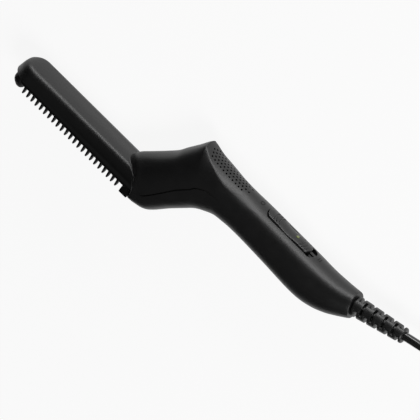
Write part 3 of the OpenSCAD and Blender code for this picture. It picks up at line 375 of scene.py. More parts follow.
# Mesh tools
def piece(name, points, faces, mat, body="root", sharp=32):
    """A piece from points in millimetres of the comb, smooth but for edges sharper than an angle."""
    mesh = bpy.data.meshes.new(name)
    mesh.from_pydata([tuple(p) for p in metres(points)], [], [tuple(f) for f in faces])
    finish_mesh(mesh, sharp)
    mesh.materials.append(MATS[mat])
    obj = bpy.data.objects.new(name, mesh)
    bpy.context.collection.objects.link(obj)
    if body:
        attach(obj, body)
    return obj


def tool(name, shape, mat):
    """A shape of no body, to be cut from a piece or joined to it."""
    return piece(name, *shape, mat, body=None)


def finish_mesh(mesh, sharp):
    bm = bmesh.new()
    bm.from_mesh(mesh)
    bmesh.ops.remove_doubles(bm, verts=bm.verts, dist=1e-7)
    bmesh.ops.dissolve_degenerate(bm, edges=bm.edges, dist=1e-8)
    bmesh.ops.recalc_face_normals(bm, faces=bm.faces)
    bm.to_mesh(mesh)
    bm.free()
    shade(mesh, sharp)


def shade(mesh, sharp):
    mesh.shade_smooth()
    mesh.set_sharp_from_angle(angle=rad(sharp))


def applied(obj):
    """Puts a piece's mesh with its modifiers in place of the plain one."""
    solid = obj.evaluated_get(bpy.context.evaluated_depsgraph_get())
    mesh = bpy.data.meshes.new_from_object(solid)
    obj.modifiers.clear()
    obj.data = mesh
    return mesh


def cut(obj, cutters, sharp=32, join=False):
    """Takes the cutters from a piece, or joins them to it."""
    for c in cutters:
        mod = obj.modifiers.new("cut", "BOOLEAN")
        mod.operation = "UNION" if join else "DIFFERENCE"
        mod.solver = "EXACT"
        mod.object = c
    mesh = applied(obj)
    for c in cutters:
        bpy.data.objects.remove(c)
    finish_mesh(mesh, sharp)


def bevel(obj, width, angle=35, sharp=40):
    """Rounds a piece's edges by a width in millimetres."""
    mod = obj.modifiers.new("bevel", "BEVEL")
    mod.width = width / 1000
    mod.segments = 2
    mod.limit_method = "ANGLE"
    mod.angle_limit = rad(angle)
    mod.use_clamp_overlap = True
    shade(applied(obj), sharp)


def loft(rows, closed=True, caps=True):
    """Faces over rows of equally many points, each row a closed ring unless told otherwise."""
    n, m = len(rows), len(rows[0])
    points = [p for r in rows for p in r]
    faces = []
    for i in range(n - 1):
        for j in range(m if closed else m - 1):
            k = (j + 1) % m
            faces.append((i * m + j, (i + 1) * m + j, (i + 1) * m + k, i * m + k))
    if caps:
        faces += [tuple(range(m)), tuple((n - 1) * m + j for j in range(m - 1, -1, -1))]
    return points, faces


def box_points(low, high):
    (a, b, c), (d, e, f) = low, high
    rows = [[(x, b, c), (x, e, c), (x, e, f), (x, b, f)] for x in (a, d)]
    return loft(rows)


def merged(*parts):
    points, faces = [], []
    for p, f in parts:
        base = len(points)
        points += list(p)
        faces += [tuple(base + i for i in face) for face in f]
    return points, faces


def circle(n, r):
    turns = [2 * math.pi * k / n for k in range(n)]
    return [(r * math.cos(a), r * math.sin(a)) for a in turns]


def oval(n, half_a, half_b, power_a, power_b):
    """Ring between an ellipse (powers of 1) and a rectangle (powers near 0)."""
    return [(math.copysign(half_a * abs(c) ** power_a, c), math.copysign(half_b * abs(s) ** power_b, s))
            for c, s in circle(n, 1)]


def revolve(profile, n, place):
    """Surface of revolution: profile of (along, radius), place maps (along, y, z) to the comb."""
    return loft([[place(a, *p) for p in circle(n, r)] for a, r in profile])


def along_cord(x, y, z):
    """Point at x from the casing's end along the cord, y towards the back and z across."""
    p = END_MID + x * END_OUT + y * END_UP
    return (p[0], p[1], z)


# Cord and its plug
GROUND = -REST_H
CORD_STEPS, TURN_STEPS = 6, 16
CORD_ROUTE = [np.array([*RELIEF_END, 0.0]), np.array([*(RELIEF_END + 5 * END_OUT), 0.0])] + [
    np.array(p, float) for p in (
        (292, 48.7, -0.2), (296, 49.4, -0.8), (300, 49.9, -1.7), (304, 50.2, -2.9), (308, 50.4, -4.3),
        (312, 50.4, -5.7), (316, 50.3, -7), (320, 50, -8.1), (324, 49.6, -9), (328, 49.1, -9.6),
        (332, 48.7, -9.9), (337, 48.4, GROUND + CORD_R), (342, 48.2, GROUND + CORD_R),
        (348, 48.2, GROUND + CORD_R))]
RUN_LEN, TURN_STEP, FOLD_R, PHASES = 85.6, 6.2, 15.4, 21
MIDDLE, LAST_PHASE = PHASES / 2, PHASES - 0.001
DRAW_IN, LAYER_RISE, TIE_LIFT, MIDDLE_EASE = 9.0, CORD_D + 0.5, 1.5, 0.06
HANK_START = CORD_ROUTE[-1]
HANK_Y = FOLD_R + TURN_STEP / 4 * MIDDLE
HANK_MID = np.array([HANK_START[0] + CORD_D + RUN_LEN / 2, HANK_START[1] - HANK_Y])


def radius_at(p):
    """Radius of the hank's winding at a phase, of which four make one turn."""
    return FOLD_R + TURN_STEP / 4 * math.sqrt((p - MIDDLE) ** 2 + MIDDLE_EASE)


def ease(t):
    """Smooth step from 0 to 1."""
    c = max(0, min(1, t))
    return c * c * (3 - 2 * c)


def waist(x):
    """Share of the tie's pull on the hank, 1 at its middle."""
    return math.cos(math.pi * x / RUN_LEN) ** 2


def hank_point(p):
    """Middle of the cord in the hank at a phase: straight runs are even, bends are odd."""
    k, t, r = math.floor(p) % 4, p - math.floor(p), radius_at(p)
    x = (t - 0.5) * RUN_LEN if k == 0 else (0.5 - t) * RUN_LEN
    high = LAYER_RISE * ease(p - MIDDLE + 0.5)
    inward = DRAW_IN * waist(x) if k % 2 == 0 else 0
    lift = TIE_LIFT * waist(x) if k % 2 == 0 else 0
    c, s = math.cos(math.pi * t), math.sin(math.pi * t)
    flat = {0: (x, r - inward), 2: (x, inward - r), 1: (RUN_LEN / 2 + r * s, r * c),
            3: (-RUN_LEN / 2 - r * s, -r * c)}[k]
    return np.array([HANK_MID[0] + flat[0], HANK_MID[1] + flat[1], GROUND + CORD_R + high + lift])


PLUG_HALF_T = 6.85
TAIL_X = HANK_MID[0] + RUN_LEN / 2
TAIL_Z = hank_point(LAST_PHASE)[2]
PLUG_Z = GROUND + PLUG_HALF_T
PLUG_X = TAIL_X + 40
PLUG_Y = HANK_START[1] - 8
HANK_TAIL = [np.array(p) for p in (
    (TAIL_X + 6, HANK_START[1] - 0.2, TAIL_Z), (TAIL_X + 13, HANK_START[1] - 1.7, TAIL_Z - 0.3),
    (TAIL_X + 20, HANK_START[1] - 4, TAIL_Z - 0.9), (TAIL_X + 27, HANK_START[1] - 6.3, PLUG_Z + 0.3),
    (TAIL_X + 34, PLUG_Y, PLUG_Z), (PLUG_X, PLUG_Y, PLUG_Z))]


def smooth_route(points, steps):
    rows = [np.array(p, float) for p in points]
    out = [between(rows, i, t / steps) for i in range(len(rows) - 1) for t in range(steps)]
    return out + [rows[-1]]


def make_cord():
    lead = smooth_route(CORD_ROUTE, CORD_STEPS)
    turns = [hank_point(min(i / TURN_STEPS, LAST_PHASE)) for i in range(1, PHASES * TURN_STEPS + 1)]
    tail = smooth_route([turns[-1]] + HANK_TAIL, CORD_STEPS)[1:]
    route = lead + [HANK_START + np.array([CORD_D - 1, 0, 0])] + turns + tail
    data = bpy.data.curves.new("mains_cord", "CURVE")
    data.dimensions = "3D"
    spline = data.splines.new("POLY")
    spline.points.add(len(route) - 1)
    for p, q in zip(spline.points, metres(route)):
        p.co = (*q, 1)
    data.bevel_depth = CORD_R / 1000
    data.bevel_resolution = 5
    data.use_fill_caps = True
    data.materials.append(MATS["cord_black"])
    cord = bpy.data.objects.new("mains_cord", data)
    bpy.context.collection.objects.link(cord)
    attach(cord, "root")
    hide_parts("power_cord", "cord_hank")
    return cord


def rounded_ring(low, high, r, n=8):
    """Corner-rounded rectangle as points, counter-clockwise."""
    out = []
    for cx, cy, a0 in ((high[0] - r, high[1] - r, 0), (low[0] + r, high[1] - r, 90),
                       (low[0] + r, low[1] + r, 180), (high[0] - r, low[1] + r, 270)):
        for k in range(n + 1):
            a = rad(a0 + 90 * k / n)
            out.append((cx + r * math.cos(a), cy + r * math.sin(a)))
    return out


TIE_T, TIE_LEN, TIE_EDGE = 1.2, 10.0, 0.3


def make_tie():
    step = RUN_LEN / 6
    flare = DRAW_IN * (1 - waist(step)) * TIE_LEN / 2 / step
    lo = (-(radius_at(2.5) - DRAW_IN + flare + CORD_R + LOOSE), TIE_T)
    hi = (radius_at(0.5) - DRAW_IN + flare + CORD_R + LOOSE, CORD_D + LAYER_RISE + TIE_LIFT + 0.2)
    rows = []
    for t, dx in ((0, TIE_EDGE), (0, TIE_LEN - TIE_EDGE), (TIE_EDGE, TIE_LEN),
                  (TIE_T - TIE_EDGE, TIE_LEN), (TIE_T, TIE_LEN - TIE_EDGE), (TIE_T, TIE_EDGE),
                  (TIE_T - TIE_EDGE, 0), (TIE_EDGE, 0)):
        ring = rounded_ring((lo[0] - t, lo[1] - t), (hi[0] + t, hi[1] + t), CORD_R + LOOSE + t)
        rows.append([(HANK_MID[0] - TIE_LEN / 2 + dx, HANK_MID[1] + a, GROUND + b) for a, b in ring])
    n, m = len(rows), len(rows[0])
    points = [p for r in rows for p in r]
    faces = [(i * m + j, ((i + 1) % n) * m + j, ((i + 1) % n) * m + (j + 1) % m, i * m + (j + 1) % m)
             for i in range(n) for j in range(m)]
    tie = piece("cord_tie", points, faces, "relief_black")
    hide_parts("hank_tie")
    return tie


PLUG_RELIEF_LEN, PLUG_LEN, PIN_PITCH = 16.0, 36.0, 18.6
PIN_LEN, PIN_R, SLEEVE_R, SLEEVE_LEN = 19.0, 2.0, 1.9, 10.0


def at_plug(x, y, z):
    return (PLUG_X + x, PLUG_Y + y, PLUG_Z + z)


def make_plug():
    profile = [(0, CORD_R - 0.1), (0, CORD_R + 0.6), (0.3, CORD_R + 0.9)]
    for i in range(5):
        a = 1 + i * 3.1
        r, core = CORD_R + 1.7 + i * 0.27, CORD_R + 0.9 + i * 0.26
        profile += [(a, core), (a, r - 0.25), (a + 0.25, r), (a + 1.25, r), (a + 1.5, r - 0.25),
                    (a + 1.5, core + 0.1)]
    profile += [(PLUG_RELIEF_LEN, CORD_R + 2.2), (PLUG_RELIEF_LEN, CORD_R - 0.1)]
    relief = piece("plug_sleeve", *revolve(profile, 40, at_plug), "relief_black")
    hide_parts("plug_relief")

    rows = []
    waypoints = [(0, 7.0, 5.2), (0.4, 7.4, 5.9), (3, 8.0, 6.5), (7, 9.0, 6.85), (11, 11.6, 6.85),
                 (15, 15.0, 6.85), (18, 17.0, 6.85), (21, 17.55, 6.85), (25, 17.65, 6.85),
                 (30, 17.65, 6.85), (33, 17.6, 6.8), (34.6, 17.2, 6.5), (35.6, 16.6, 6.0), (36, 15.8, 5.3)]
    for x, a, b in waypoints:
        rows.append([at_plug(PLUG_RELIEF_LEN + x, *p) for p in oval(56, a, b, 0.55, 0.62)])
    body = piece("plug_shell", *loft(rows), "plug_black")
    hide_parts("plug_body")

    pins, sleeves = [], []
    for s in (-1, 1):
        def at_pin(x, y, z, s=s):
            return at_plug(PLUG_RELIEF_LEN + PLUG_LEN + x, s * PIN_PITCH / 2 + y, z)
        sleeves.append(revolve([(-0.3, 0.3), (-0.3, SLEEVE_R), (SLEEVE_LEN - 0.1, SLEEVE_R),
                                (SLEEVE_LEN, SLEEVE_R - 0.2), (SLEEVE_LEN, 0.3)], 28, at_pin))
        pins.append(revolve([(SLEEVE_LEN - 0.2, 0.3), (SLEEVE_LEN - 0.2, PIN_R - 0.15),
                             (SLEEVE_LEN + 0.1, PIN_R), (PIN_LEN - 1.3, PIN_R),
                             (PIN_LEN - 0.7, PIN_R - 0.3), (PIN_LEN - 0.25, PIN_R - 0.8),
                             (PIN_LEN - 0.04, PIN_R - 1.4), (PIN_LEN, 0.1)], 28, at_pin))
    metal = piece("plug_contacts", *merged(*pins), "pin_metal")
    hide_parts("plug_pins")
    jackets = piece("plug_pin_sleeves", *merged(*sleeves), "plug_black")
    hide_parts("plug_pins")
    return [relief, body, metal, jackets]


mains_cord = make_cord()
on_cord = [make_tie()] + make_plug()


# Casing
SIDE_STEPS, DECK_STEPS, PLAIN_STEPS = 20, 9, 5
END_FILLET, END_STEPS = 0.5, 5
TIP_ANGLES, INNER_LAG = (10.5, 13, 16, 20, 25, 31, 38, 46, 54, 62, 70, 77, 84, 90), 2
GROOVE_STEPS = ((0, 1), (0.12, 0.8), (0.28, 0.3), (0.45, 0))
GROOVE_DEEP, GROOVE_FINE = 0.6, 0.05
GROOVE_FROM, GROOVE_IN, GROOVE_TO, GROOVE_OUT = 106, 5, 130, 18


def groove_at(u):
    """Depth of the parting groove: plain along the neck, fine on the handle."""
    rise = ease((u - GROOVE_FROM) / GROOVE_IN) * (1 - ease((u - GROOVE_TO) / GROOVE_OUT))
    return GROOVE_FINE + (GROOVE_DEEP - GROOVE_FINE) * rise


CORNER_R, CORNER_SHARE, HEAD_CROWN = 5.0, 0.7, 0.2


def deck_crown(half, height, square, deck, soft):
    """Rise of the deck's middle over its edges, where it goes over into the sides."""
    x = deck / half
    q = deck / 2 * x ** (square - 1) / ((1 - x ** square) * half)
    return soft * height * q / (1 + q)


def half_section(half, height, square, deck, soft, corner, groove):
    """Half of a rib's section, from the parting line up: mixed from a full arch and a rounded corner."""
    x = deck / half
    crown = deck_crown(half, height, square, deck, soft)
    full = (height - crown) / (1 - x ** square) ** (1 / square)
    last = math.acos(x ** (square / 2))
    out = [(half * (1 - (h / full) ** square) ** (1 / square) - groove * share, h)
           for h, share in GROOVE_STEPS]
    low = GROOVE_STEPS[-1][0]
    for i in range(1, SIDE_STEPS + 1):
        a = last * i / SIDE_STEPS
        h = full * math.sin(a) ** (2 / square)
        low = max(h, low + 0.01)
        out.append((half * math.cos(a) ** (2 / square), low))
    for i in range(1, DECK_STEPS + 1):
        w = deck * (1 - i / DECK_STEPS)
        out.append((w, height - crown * (w / deck) ** 2))
    if corner < 0.001:
        return out
    r = min(CORNER_R, CORNER_SHARE * half)
    lift = HEAD_CROWN * half / HEAD_HALF
    foot, low = height - lift - r, GROOVE_STEPS[-1][0]
    plain = [(half, low + (foot - low) * i / PLAIN_STEPS) for i in range(1, PLAIN_STEPS + 1)]
    for i in range(1, SIDE_STEPS - PLAIN_STEPS + 1):
        a = rad(90 * i / (SIDE_STEPS - PLAIN_STEPS))
        plain.append((half - r + r * math.cos(a), foot + r * math.sin(a)))
    for i in range(1, DECK_STEPS + 1):
        w = (half - r) * (1 - i / DECK_STEPS)
        plain.append((w, height - lift * (w / (half - r)) ** 2))
    start = len(GROOVE_STEPS)
    return out[:start] + [(a + (c - a) * corner, b + (d - b) * corner)
                          for (a, b), (c, d) in zip(out[start:], plain)]


FRONT_DECK = 5


def arch(part, tip, half, square, deck, soft, bow, corner, groove):
    """Section from the parting line on one side over the tip to the other side."""
    height = np.linalg.norm(tip - part)
    up = (tip - part) / height
    s = half_section(half, height, square, deck, soft, corner, min(groove, half / 4))
    side = [(part[0] + up[0] * h + bow * (w / half) ** 2 * h / height, part[1] + up[1] * h, w)
            for w, h in s]
    return side + [(p[0], p[1], -p[2]) for p in reversed(side[:-1])]


def sunk(part, tip, skin):
    """An arch's tip, set in by the skin."""
    return tip + (part - tip) / np.linalg.norm(part - tip) * skin


def back_arch(r, skin, groove=0.0):
    """Arch of a rib behind the parting line, set in by a skin."""
    k = (r[HALF] - skin) / r[HALF]
    return arch(r[PART], sunk(r[PART], r[BACK], skin), r[HALF] - skin, r[SQUARE], r[DECK] * k,
                r[SOFT], r[BOW], r[CORNER], groove)


def front_arch(r, skin, groove=0.0):
    k = (r[HALF] - skin) / r[HALF]
    return arch(r[PART], sunk(r[PART], r[FRONT], skin), r[HALF] - skin, r[SQUARE_FRONT],
                FRONT_DECK * k, 1, 0, 0, groove)


def moved(r, step):
    """A rib moved as a whole."""
    out = r.copy()
    out[:HALF] += np.tile(step, 3)
    return out


def body_rows():
    """Ribs of neck and handle with the skin that each outer row gives up, and a rounded end."""
    rows = [(between(KEY_RIBS, i, t / RIB_STEPS), 0.0)
            for i in range(LAST_KEY) for t in range(RIB_STEPS)]
    rows = [r for r in rows if np.dot(END_MID - r[0][PART], END_OUT) > END_FILLET + 0.2]
    for k in range(END_STEPS + 1):
        a = rad(90 * k / END_STEPS)
        rows.append((moved(KEY_RIBS[-1], -END_FILLET * (1 - math.sin(a)) * END_OUT),
                     END_FILLET * (1 - math.cos(a))))
    return rows


BODY_ROWS = body_rows()
END_RIB = moved(KEY_RIBS[-1], -WALL * END_OUT)


def inner_rib(i):
    """Rib behind the wall: set in at the cord's end and behind the neck's end wall."""
    r, skin = BODY_ROWS[i]
    if skin > 0:
        return END_RIB
    return moved(r, (WALL * (1 - ease(i / RIB_STEPS - 1)), 0))


def canoe(outer, inner):
    """Closed hull between an outer and an inner row of arches."""
    m, n = len(outer[0]), len(outer)
    points = [p for r in outer + inner for p in r]
    faces = []

    def o(i, j):
        return i * m + j

    def q(i, j):
        return (n + i) * m + j

    for i in range(n - 1):
        for j in range(m - 1):
            faces.append((o(i, j), o(i + 1, j), o(i + 1, j + 1), o(i, j + 1)))
            faces.append((q(i, j), q(i, j + 1), q(i + 1, j + 1), q(i + 1, j)))
        faces.append((o(i, 0), q(i, 0), q(i + 1, 0), o(i + 1, 0)))
        faces.append((o(i, m - 1), o(i + 1, m - 1), q(i + 1, m - 1), q(i, m - 1)))
    for i in (0, n - 1):
        faces.append(tuple(o(i, j) for j in range(m)))
        faces.append(tuple(q(i, j) for j in range(m)))
        faces.append((o(i, 0), o(i, m - 1), q(i, m - 1), q(i, 0)))
    return points, faces


FIRST_DECK_RIB = 11


def deck_rib(x):
    """Rib of the handle whose back point is at x."""
    for i in range(FIRST_DECK_RIB, LAST_KEY):
        lo, hi = 0.0, 1.0
        if KEY_RIBS[i][BACK][0] <= x <= KEY_RIBS[i + 1][BACK][0]:
            for _ in range(24):
                t = (lo + hi) / 2
                lo, hi = (t, hi) if between(KEY_RIBS, i, t)[BACK][0] < x else (lo, t)
            return between(KEY_RIBS, i, (lo + hi) / 2)
    raise ValueError(f"no rib at {x}")


def deck_height(x, w):
    """Height of the handle's back at x and width w, as half_section forms its deck."""
    r = deck_rib(x)
    crown = deck_crown(r[HALF], np.linalg.norm(r[BACK] - r[PART]), r[SQUARE], r[DECK], r[SOFT])
    return r[BACK][1] - crown * (w / r[DECK]) ** 2


def arched_outline(x0, x1, half, rise, n=10):
    """Slot outline: straight sides from x0 to x1 and shallow arched ends."""
    r = (half * half + rise * rise) / (2 * rise)
    out = []
    for side, x in ((1, x1), (-1, x0)):
        for k in range(n + 1):
            w = side * half * (2 * k / n - 1)
            out.append((x + side * (rise - r + math.sqrt(max(0, r * r - w * w))), w))
    return out


SLOT_X1 = BODY_LEN - SLOT_TO_END - SLOT_RISE
SLOT_X0 = SLOT_X1 - SLOT_LEN + 2 * SLOT_RISE
SLOT_HALF = SLOT_W / 2
TONGUE_W, TONGUE_LEN, TONGUE_T = 2.2, 4.4, 1.0


def slot_cutter():
    rows = []
    for lift, grow in ((4, 0.3), (0.02, 0.3), (-0.1, 0.1), (-0.3, 0), (-7, 0)):
        rows.append([(x, deck_height(x, w) + lift, w)
                     for x, w in arched_outline(SLOT_X0, SLOT_X1, SLOT_HALF + grow, SLOT_RISE + grow)])
    cutter = tool("slot_cut", loft(rows), "soft_black")
    tongue = tool("tongue_cut", box_points(
        (SLOT_X1 + SLOT_RISE - TONGUE_LEN, HANDLE_RISE - WALL - 0.1, -TONGUE_W / 2),
        (SLOT_X1 + SLOT_RISE + 1, HANDLE_RISE - WALL + TONGUE_T, TONGUE_W / 2)), "soft_black")
    cut(cutter, [tongue])
    return cutter


def vent_sites():
    """Places of the vent holes on the back, as length and width."""
    mid = (VENT_ROWS - 1) // 2
    out = []
    for k in range(-mid, mid + 1):
        odd = abs(k) % 2
        count = VENT_COUNT + (-1 if abs(k) == 2 else odd)
        shift = VENT_PITCH if abs(k) == 2 else odd * VENT_PITCH / 2
        out += [(ELBOW_X - 0.4 + shift + i * VENT_PITCH, k * VENT_PITCH * math.sin(rad(60)))
                for i in range(count)]
    return out


def vent_cutter():
    parts = [revolve([(HANDLE_RISE - 7, VENT_D / 2), (HANDLE_RISE + 9, VENT_D / 2)], 14,
                     lambda a, y, z, x=x, w=w: (x + y, a, w + z)) for x, w in vent_sites()]
    return tool("vent_cut", merged(*parts), "soft_black")


RELIEF_NECK_R = 4.5


def bore_cutter():
    r = RELIEF_NECK_R + RUNNING
    return tool("bore_cut", revolve([(-WALL - 1.5, r), (1.5, r)], 40, along_cord), "soft_black")


SCREW_HEAD_R, PIT_DEPTH, BOSS_R = 2.5, 4.2, 3.8
NECK_JOINT = at_neck(13, -3.6)
# The frame's screws stand where its own parting line is, a little above the casing's here
SCREW_V = PART_V + 0.3
# Each screw's place on the parting line, its angle, and how far the front lies below
SCREW_SITES = [
    (NECK_JOINT, NECK_ANGLE, NECK_OFF - 3.6),
    (np.array([ELBOW_X + 36.5, SCREW_V]), 0, 12.5),
    (np.array([BODY_LEN - 22.8, SCREW_V + 1]), 0, 13.7),
]


def at_screw(site, x, y, z):
    c, s = math.cos(rad(site[1])), math.sin(rad(site[1]))
    return (site[0][0] + x * c - y * s, site[0][1] + x * s + y * c, z)


def screw_tool(name, ends, r):
    """A cylinder at each screw, its ends given by the place of the front's face there."""
    parts = [revolve([(y, r) for y in ends(-site[2])], 32,
                     lambda a, y, z, site=site: at_screw(site, y, a, z)) for site in SCREW_SITES]
    return tool(name, merged(*parts), "soft_black")


def make_casing():
    groove = [groove_at(r[0]) for r, _ in BODY_ROWS]
    outer = [back_arch(tip_rib(a, 0), 0, GROOVE_FINE) for a in TIP_ANGLES]
    outer += [back_arch(r, skin, g) for (r, skin), g in zip(BODY_ROWS, groove)]
    inner = [back_arch(tip_rib(a + INNER_LAG * (1 - a / 90), WALL), WALL) for a in TIP_ANGLES]
    inner += [back_arch(inner_rib(i), WALL) for i in range(len(BODY_ROWS))]
    back = piece("casing_back", *canoe(outer, inner), "soft_black")
    cut(back, [slot_cutter(), vent_cutter(), bore_cutter()])
    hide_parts("back_shell")

    outer = [front_arch(r, skin, g) for (r, skin), g in zip(BODY_ROWS, groove)]
    inner = [front_arch(inner_rib(i), WALL) for i in range(len(BODY_ROWS))]
    front = piece("casing_front", *canoe(outer, inner), "soft_black")
    pit = screw_tool("pit_cut", lambda face: (face - 5, face + PIT_DEPTH), SCREW_HEAD_R + LOOSE)
    cup = screw_tool("boss_add", lambda face: (face + WALL / 2, 0), BOSS_R)
    cut(front, [cup], join=True)
    cut(front, [pit, bore_cutter()])
    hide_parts("front_shell")


make_casing()

# Comb guard
GUARD_X0, GUARD_X1 = 1.2, HEAD_FOOT - 0.3
GUARD_HALF = HEAD_HALF - 1.8
FLANGE_V = -HEAD_DEPTH - FLANGE_H
TOOTH_X0, END_BLOCK, LAST_TOOTH_GAP = 11.8, 6.0, 2.6
TOOTH_COUNT = math.floor((GUARD_X1 - END_BLOCK - LAST_TOOTH_GAP - TOOTH_X0) / TOOTH_PITCH) + 1
BUMP_X1, TAB_HALF = 9.8, 7.5
CHANNEL = CHANNEL_W / 2
# Profiles from root to tip, at depths that are scaled to the tooth's length: a tooth's half
# thickness and inset, and the bump's front, rear and half width
PROFILE_LEN, TOOTH_THICK = 5.8, 1.16
TOOTH_PROFILE = (
    (-0.6, 1.30, 0.0), (-0.1, 1.20, 0.0), (0.25, 0.98, 0.0), (0.7, 0.84, 0.03), (1.4, 0.75, 0.1),
    (2.6, 0.67, 0.22), (3.8, 0.61, 0.38), (4.6, 0.57, 0.52), (5.15, 0.51, 0.68), (5.5, 0.40, 0.9),
    (5.7, 0.26, 1.15), (5.8, 0.1, 1.4))
BUMP_PROFILE = (
    (-2.8, 0.2, 8.5, 8.7), (-2.3, -0.2, 8.5, 8.75), (-0.8, -0.5, 8.5, 8.8), (0.5, -0.5, 8.5, 8.75),
    (1.5, -0.2, 8.5, 8.5), (2.5, 0.3, 8.5, 8.1), (3.4, 0.9, 8.4, 7.6), (4.3, 1.6, 8.3, 7.1),
    (5.0, 2.3, 8.0, 6.6), (5.5, 3.1, 7.5, 5.8), (5.78, 3.9, 6.8, 4.8))


def plan_row(x0, x1, half, v, n=24):
    """Plan of the guard at one height: round tip at x0, square end at x1."""
    out = [(x0 + half - half * math.sin(math.pi * k / n), v, half * math.cos(math.pi * k / n))
           for k in range(n + 1)]
    return out + [(x1, v, -half), (x1, v, half)]


def tooth(x, side):
    """One tooth: tapered prong of rounded section, from inside the flange to its tip."""
    rows = []
    for depth, half_t, inset in TOOTH_PROFILE:
        v = FLANGE_V - depth * (TOOTH_LEN / PROFILE_LEN)
        lo = CHANNEL + 0.05 + inset * 0.85
        hi = GUARD_HALF - 0.25 - inset
        rows.append([(x + a, v, side * ((lo + hi) / 2 + b))
                     for a, b in oval(16, half_t * TOOTH_THICK, (hi - lo) / 2, 0.6, 0.6)])
    return loft(rows)


def tip_bump():
    """Rounded bump at the tip, of the teeth's depth."""
    rows = []
    for depth, front, rear, half in BUMP_PROFILE:
        mid, v = GUARD_X0 + (front + rear) / 2, FLANGE_V - depth * (TOOTH_LEN / PROFILE_LEN)
        rows.append([(mid + a, v, b) for a, b in oval(40, (rear - front) / 2, half, 0.75, 0.75)])
    return loft(rows)


def make_guard():
    flange = piece("guard", *loft([
        plan_row(GUARD_X0, GUARD_X1, GUARD_HALF, -HEAD_DEPTH),
        plan_row(GUARD_X0, GUARD_X1, GUARD_HALF, FLANGE_V + 0.5),
        plan_row(GUARD_X0 + 0.1, GUARD_X1, GUARD_HALF - 0.1, FLANGE_V + 0.2),
        plan_row(GUARD_X0 + 0.4, GUARD_X1, GUARD_HALF - 0.4, FLANGE_V)]), "guard_black")
    cut(flange, [tool("channel_cut", box_points(
        (BUMP_X1, FLANGE_V - 1, -CHANNEL), (GUARD_X1 - END_BLOCK, 0, CHANNEL)), "guard_black")])
    teeth = tool("teeth_add", merged(*[tooth(TOOTH_X0 + i * TOOTH_PITCH, side)
                                       for i in range(TOOTH_COUNT) for side in (-1, 1)]), "guard_black")
    knob = tool("bump_add", tip_bump(), "guard_black")
    stop = tool("stop_add", box_points(
        (GUARD_X1 - END_BLOCK, TEETH_V, 0.4 - GUARD_HALF),
        (GUARD_X1 + 0.01, FLANGE_V + 0.4, GUARD_HALF - 0.4)), "guard_black")
    bevel(stop, 0.35)
    tab = tool("tab_add", box_points(
        (GUARD_X1 - 1, TEETH_V + 1.2, -TAB_HALF), (GUARD_X1 + 0.9, FLANGE_V + 1, TAB_HALF)), "guard_black")
    cut(flange, [teeth, knob, stop, tab], join=True, sharp=38)
    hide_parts("comb_guard")


make_guard()

# Switch
CAP_HALF = SLOT_HALF - SLIDING
CAP_X0, CAP_X1 = SLOT_X0 + SLIDING, SLOT_X1 - TRAVEL - 0.2
CAP_TOP, CROWN_R = HANDLE_RISE + CAP_PROUD, 11.0
PLATE_HALF, PLATE_TOP, PLATE_T, PLATE_OVER = SLOT_HALF + 0.75, HANDLE_RISE - 3.4, 0.9, 2.6
LENS_X, SCOOP_X = CAP_X0 + 20.2, CAP_X0 + 14.6
SCOOP_HALF, SCOOP_DEPTH = 7.0, 0.7
SCOOP_R = (SCOOP_HALF ** 2 + SCOOP_DEPTH ** 2) / (2 * SCOOP_DEPTH)
GRIPS = ((CAP_X0 + 1.7, 1), (CAP_X0 + 3.9, 1), (CAP_X0 + 6.1, 1),
         (CAP_X0 + 25.4, -1), (CAP_X0 + 27.6, -1), (CAP_X0 + 29.8, -1))
GRIP_R, GRIP_HALF, GRIP_H, GRIP_END, CAP_EDGE = 6.5, 0.5, 0.5, 0.5, 0.55
CAP_ROWS, CAP_COLUMNS = 240, 34
CAP_END_SHARES = (0, 0.0006, 0.002, 0.0045, 0.008, 0.012)


def cap_height(x, w, edge):
    """Height of the cap's top: crown, scoop, grip bars and rounded edge."""
    top = CAP_TOP - CROWN_R + math.sqrt(CROWN_R ** 2 - w * w)
    d = abs(x - SCOOP_X)
    if d < SCOOP_HALF:
        top -= math.sqrt(SCOOP_R ** 2 - d * d) - (SCOOP_R - SCOOP_DEPTH)
    for gx, side in GRIPS:
        bow = gx + side * (GRIP_R - math.sqrt(GRIP_R ** 2 - w * w))
        t = abs(x - bow) / GRIP_HALF
        if t < 1 and edge > GRIP_END:
            top += GRIP_H * (0.5 + 0.5 * math.cos(math.pi * t)) * ease((edge - GRIP_END) / GRIP_END)
    if edge < CAP_EDGE:
        top -= CAP_EDGE - math.sqrt(max(0, CAP_EDGE ** 2 - (CAP_EDGE - edge) ** 2))
    return top


def spaced(n):
    """Shares from 0 to 1 that crowd towards both ends."""
    return [0.5 - 0.5 * math.cos(math.pi * k / n) for k in range(n + 1)]


def at_lens(a, y, z):
    return (LENS_X + y, a, z)


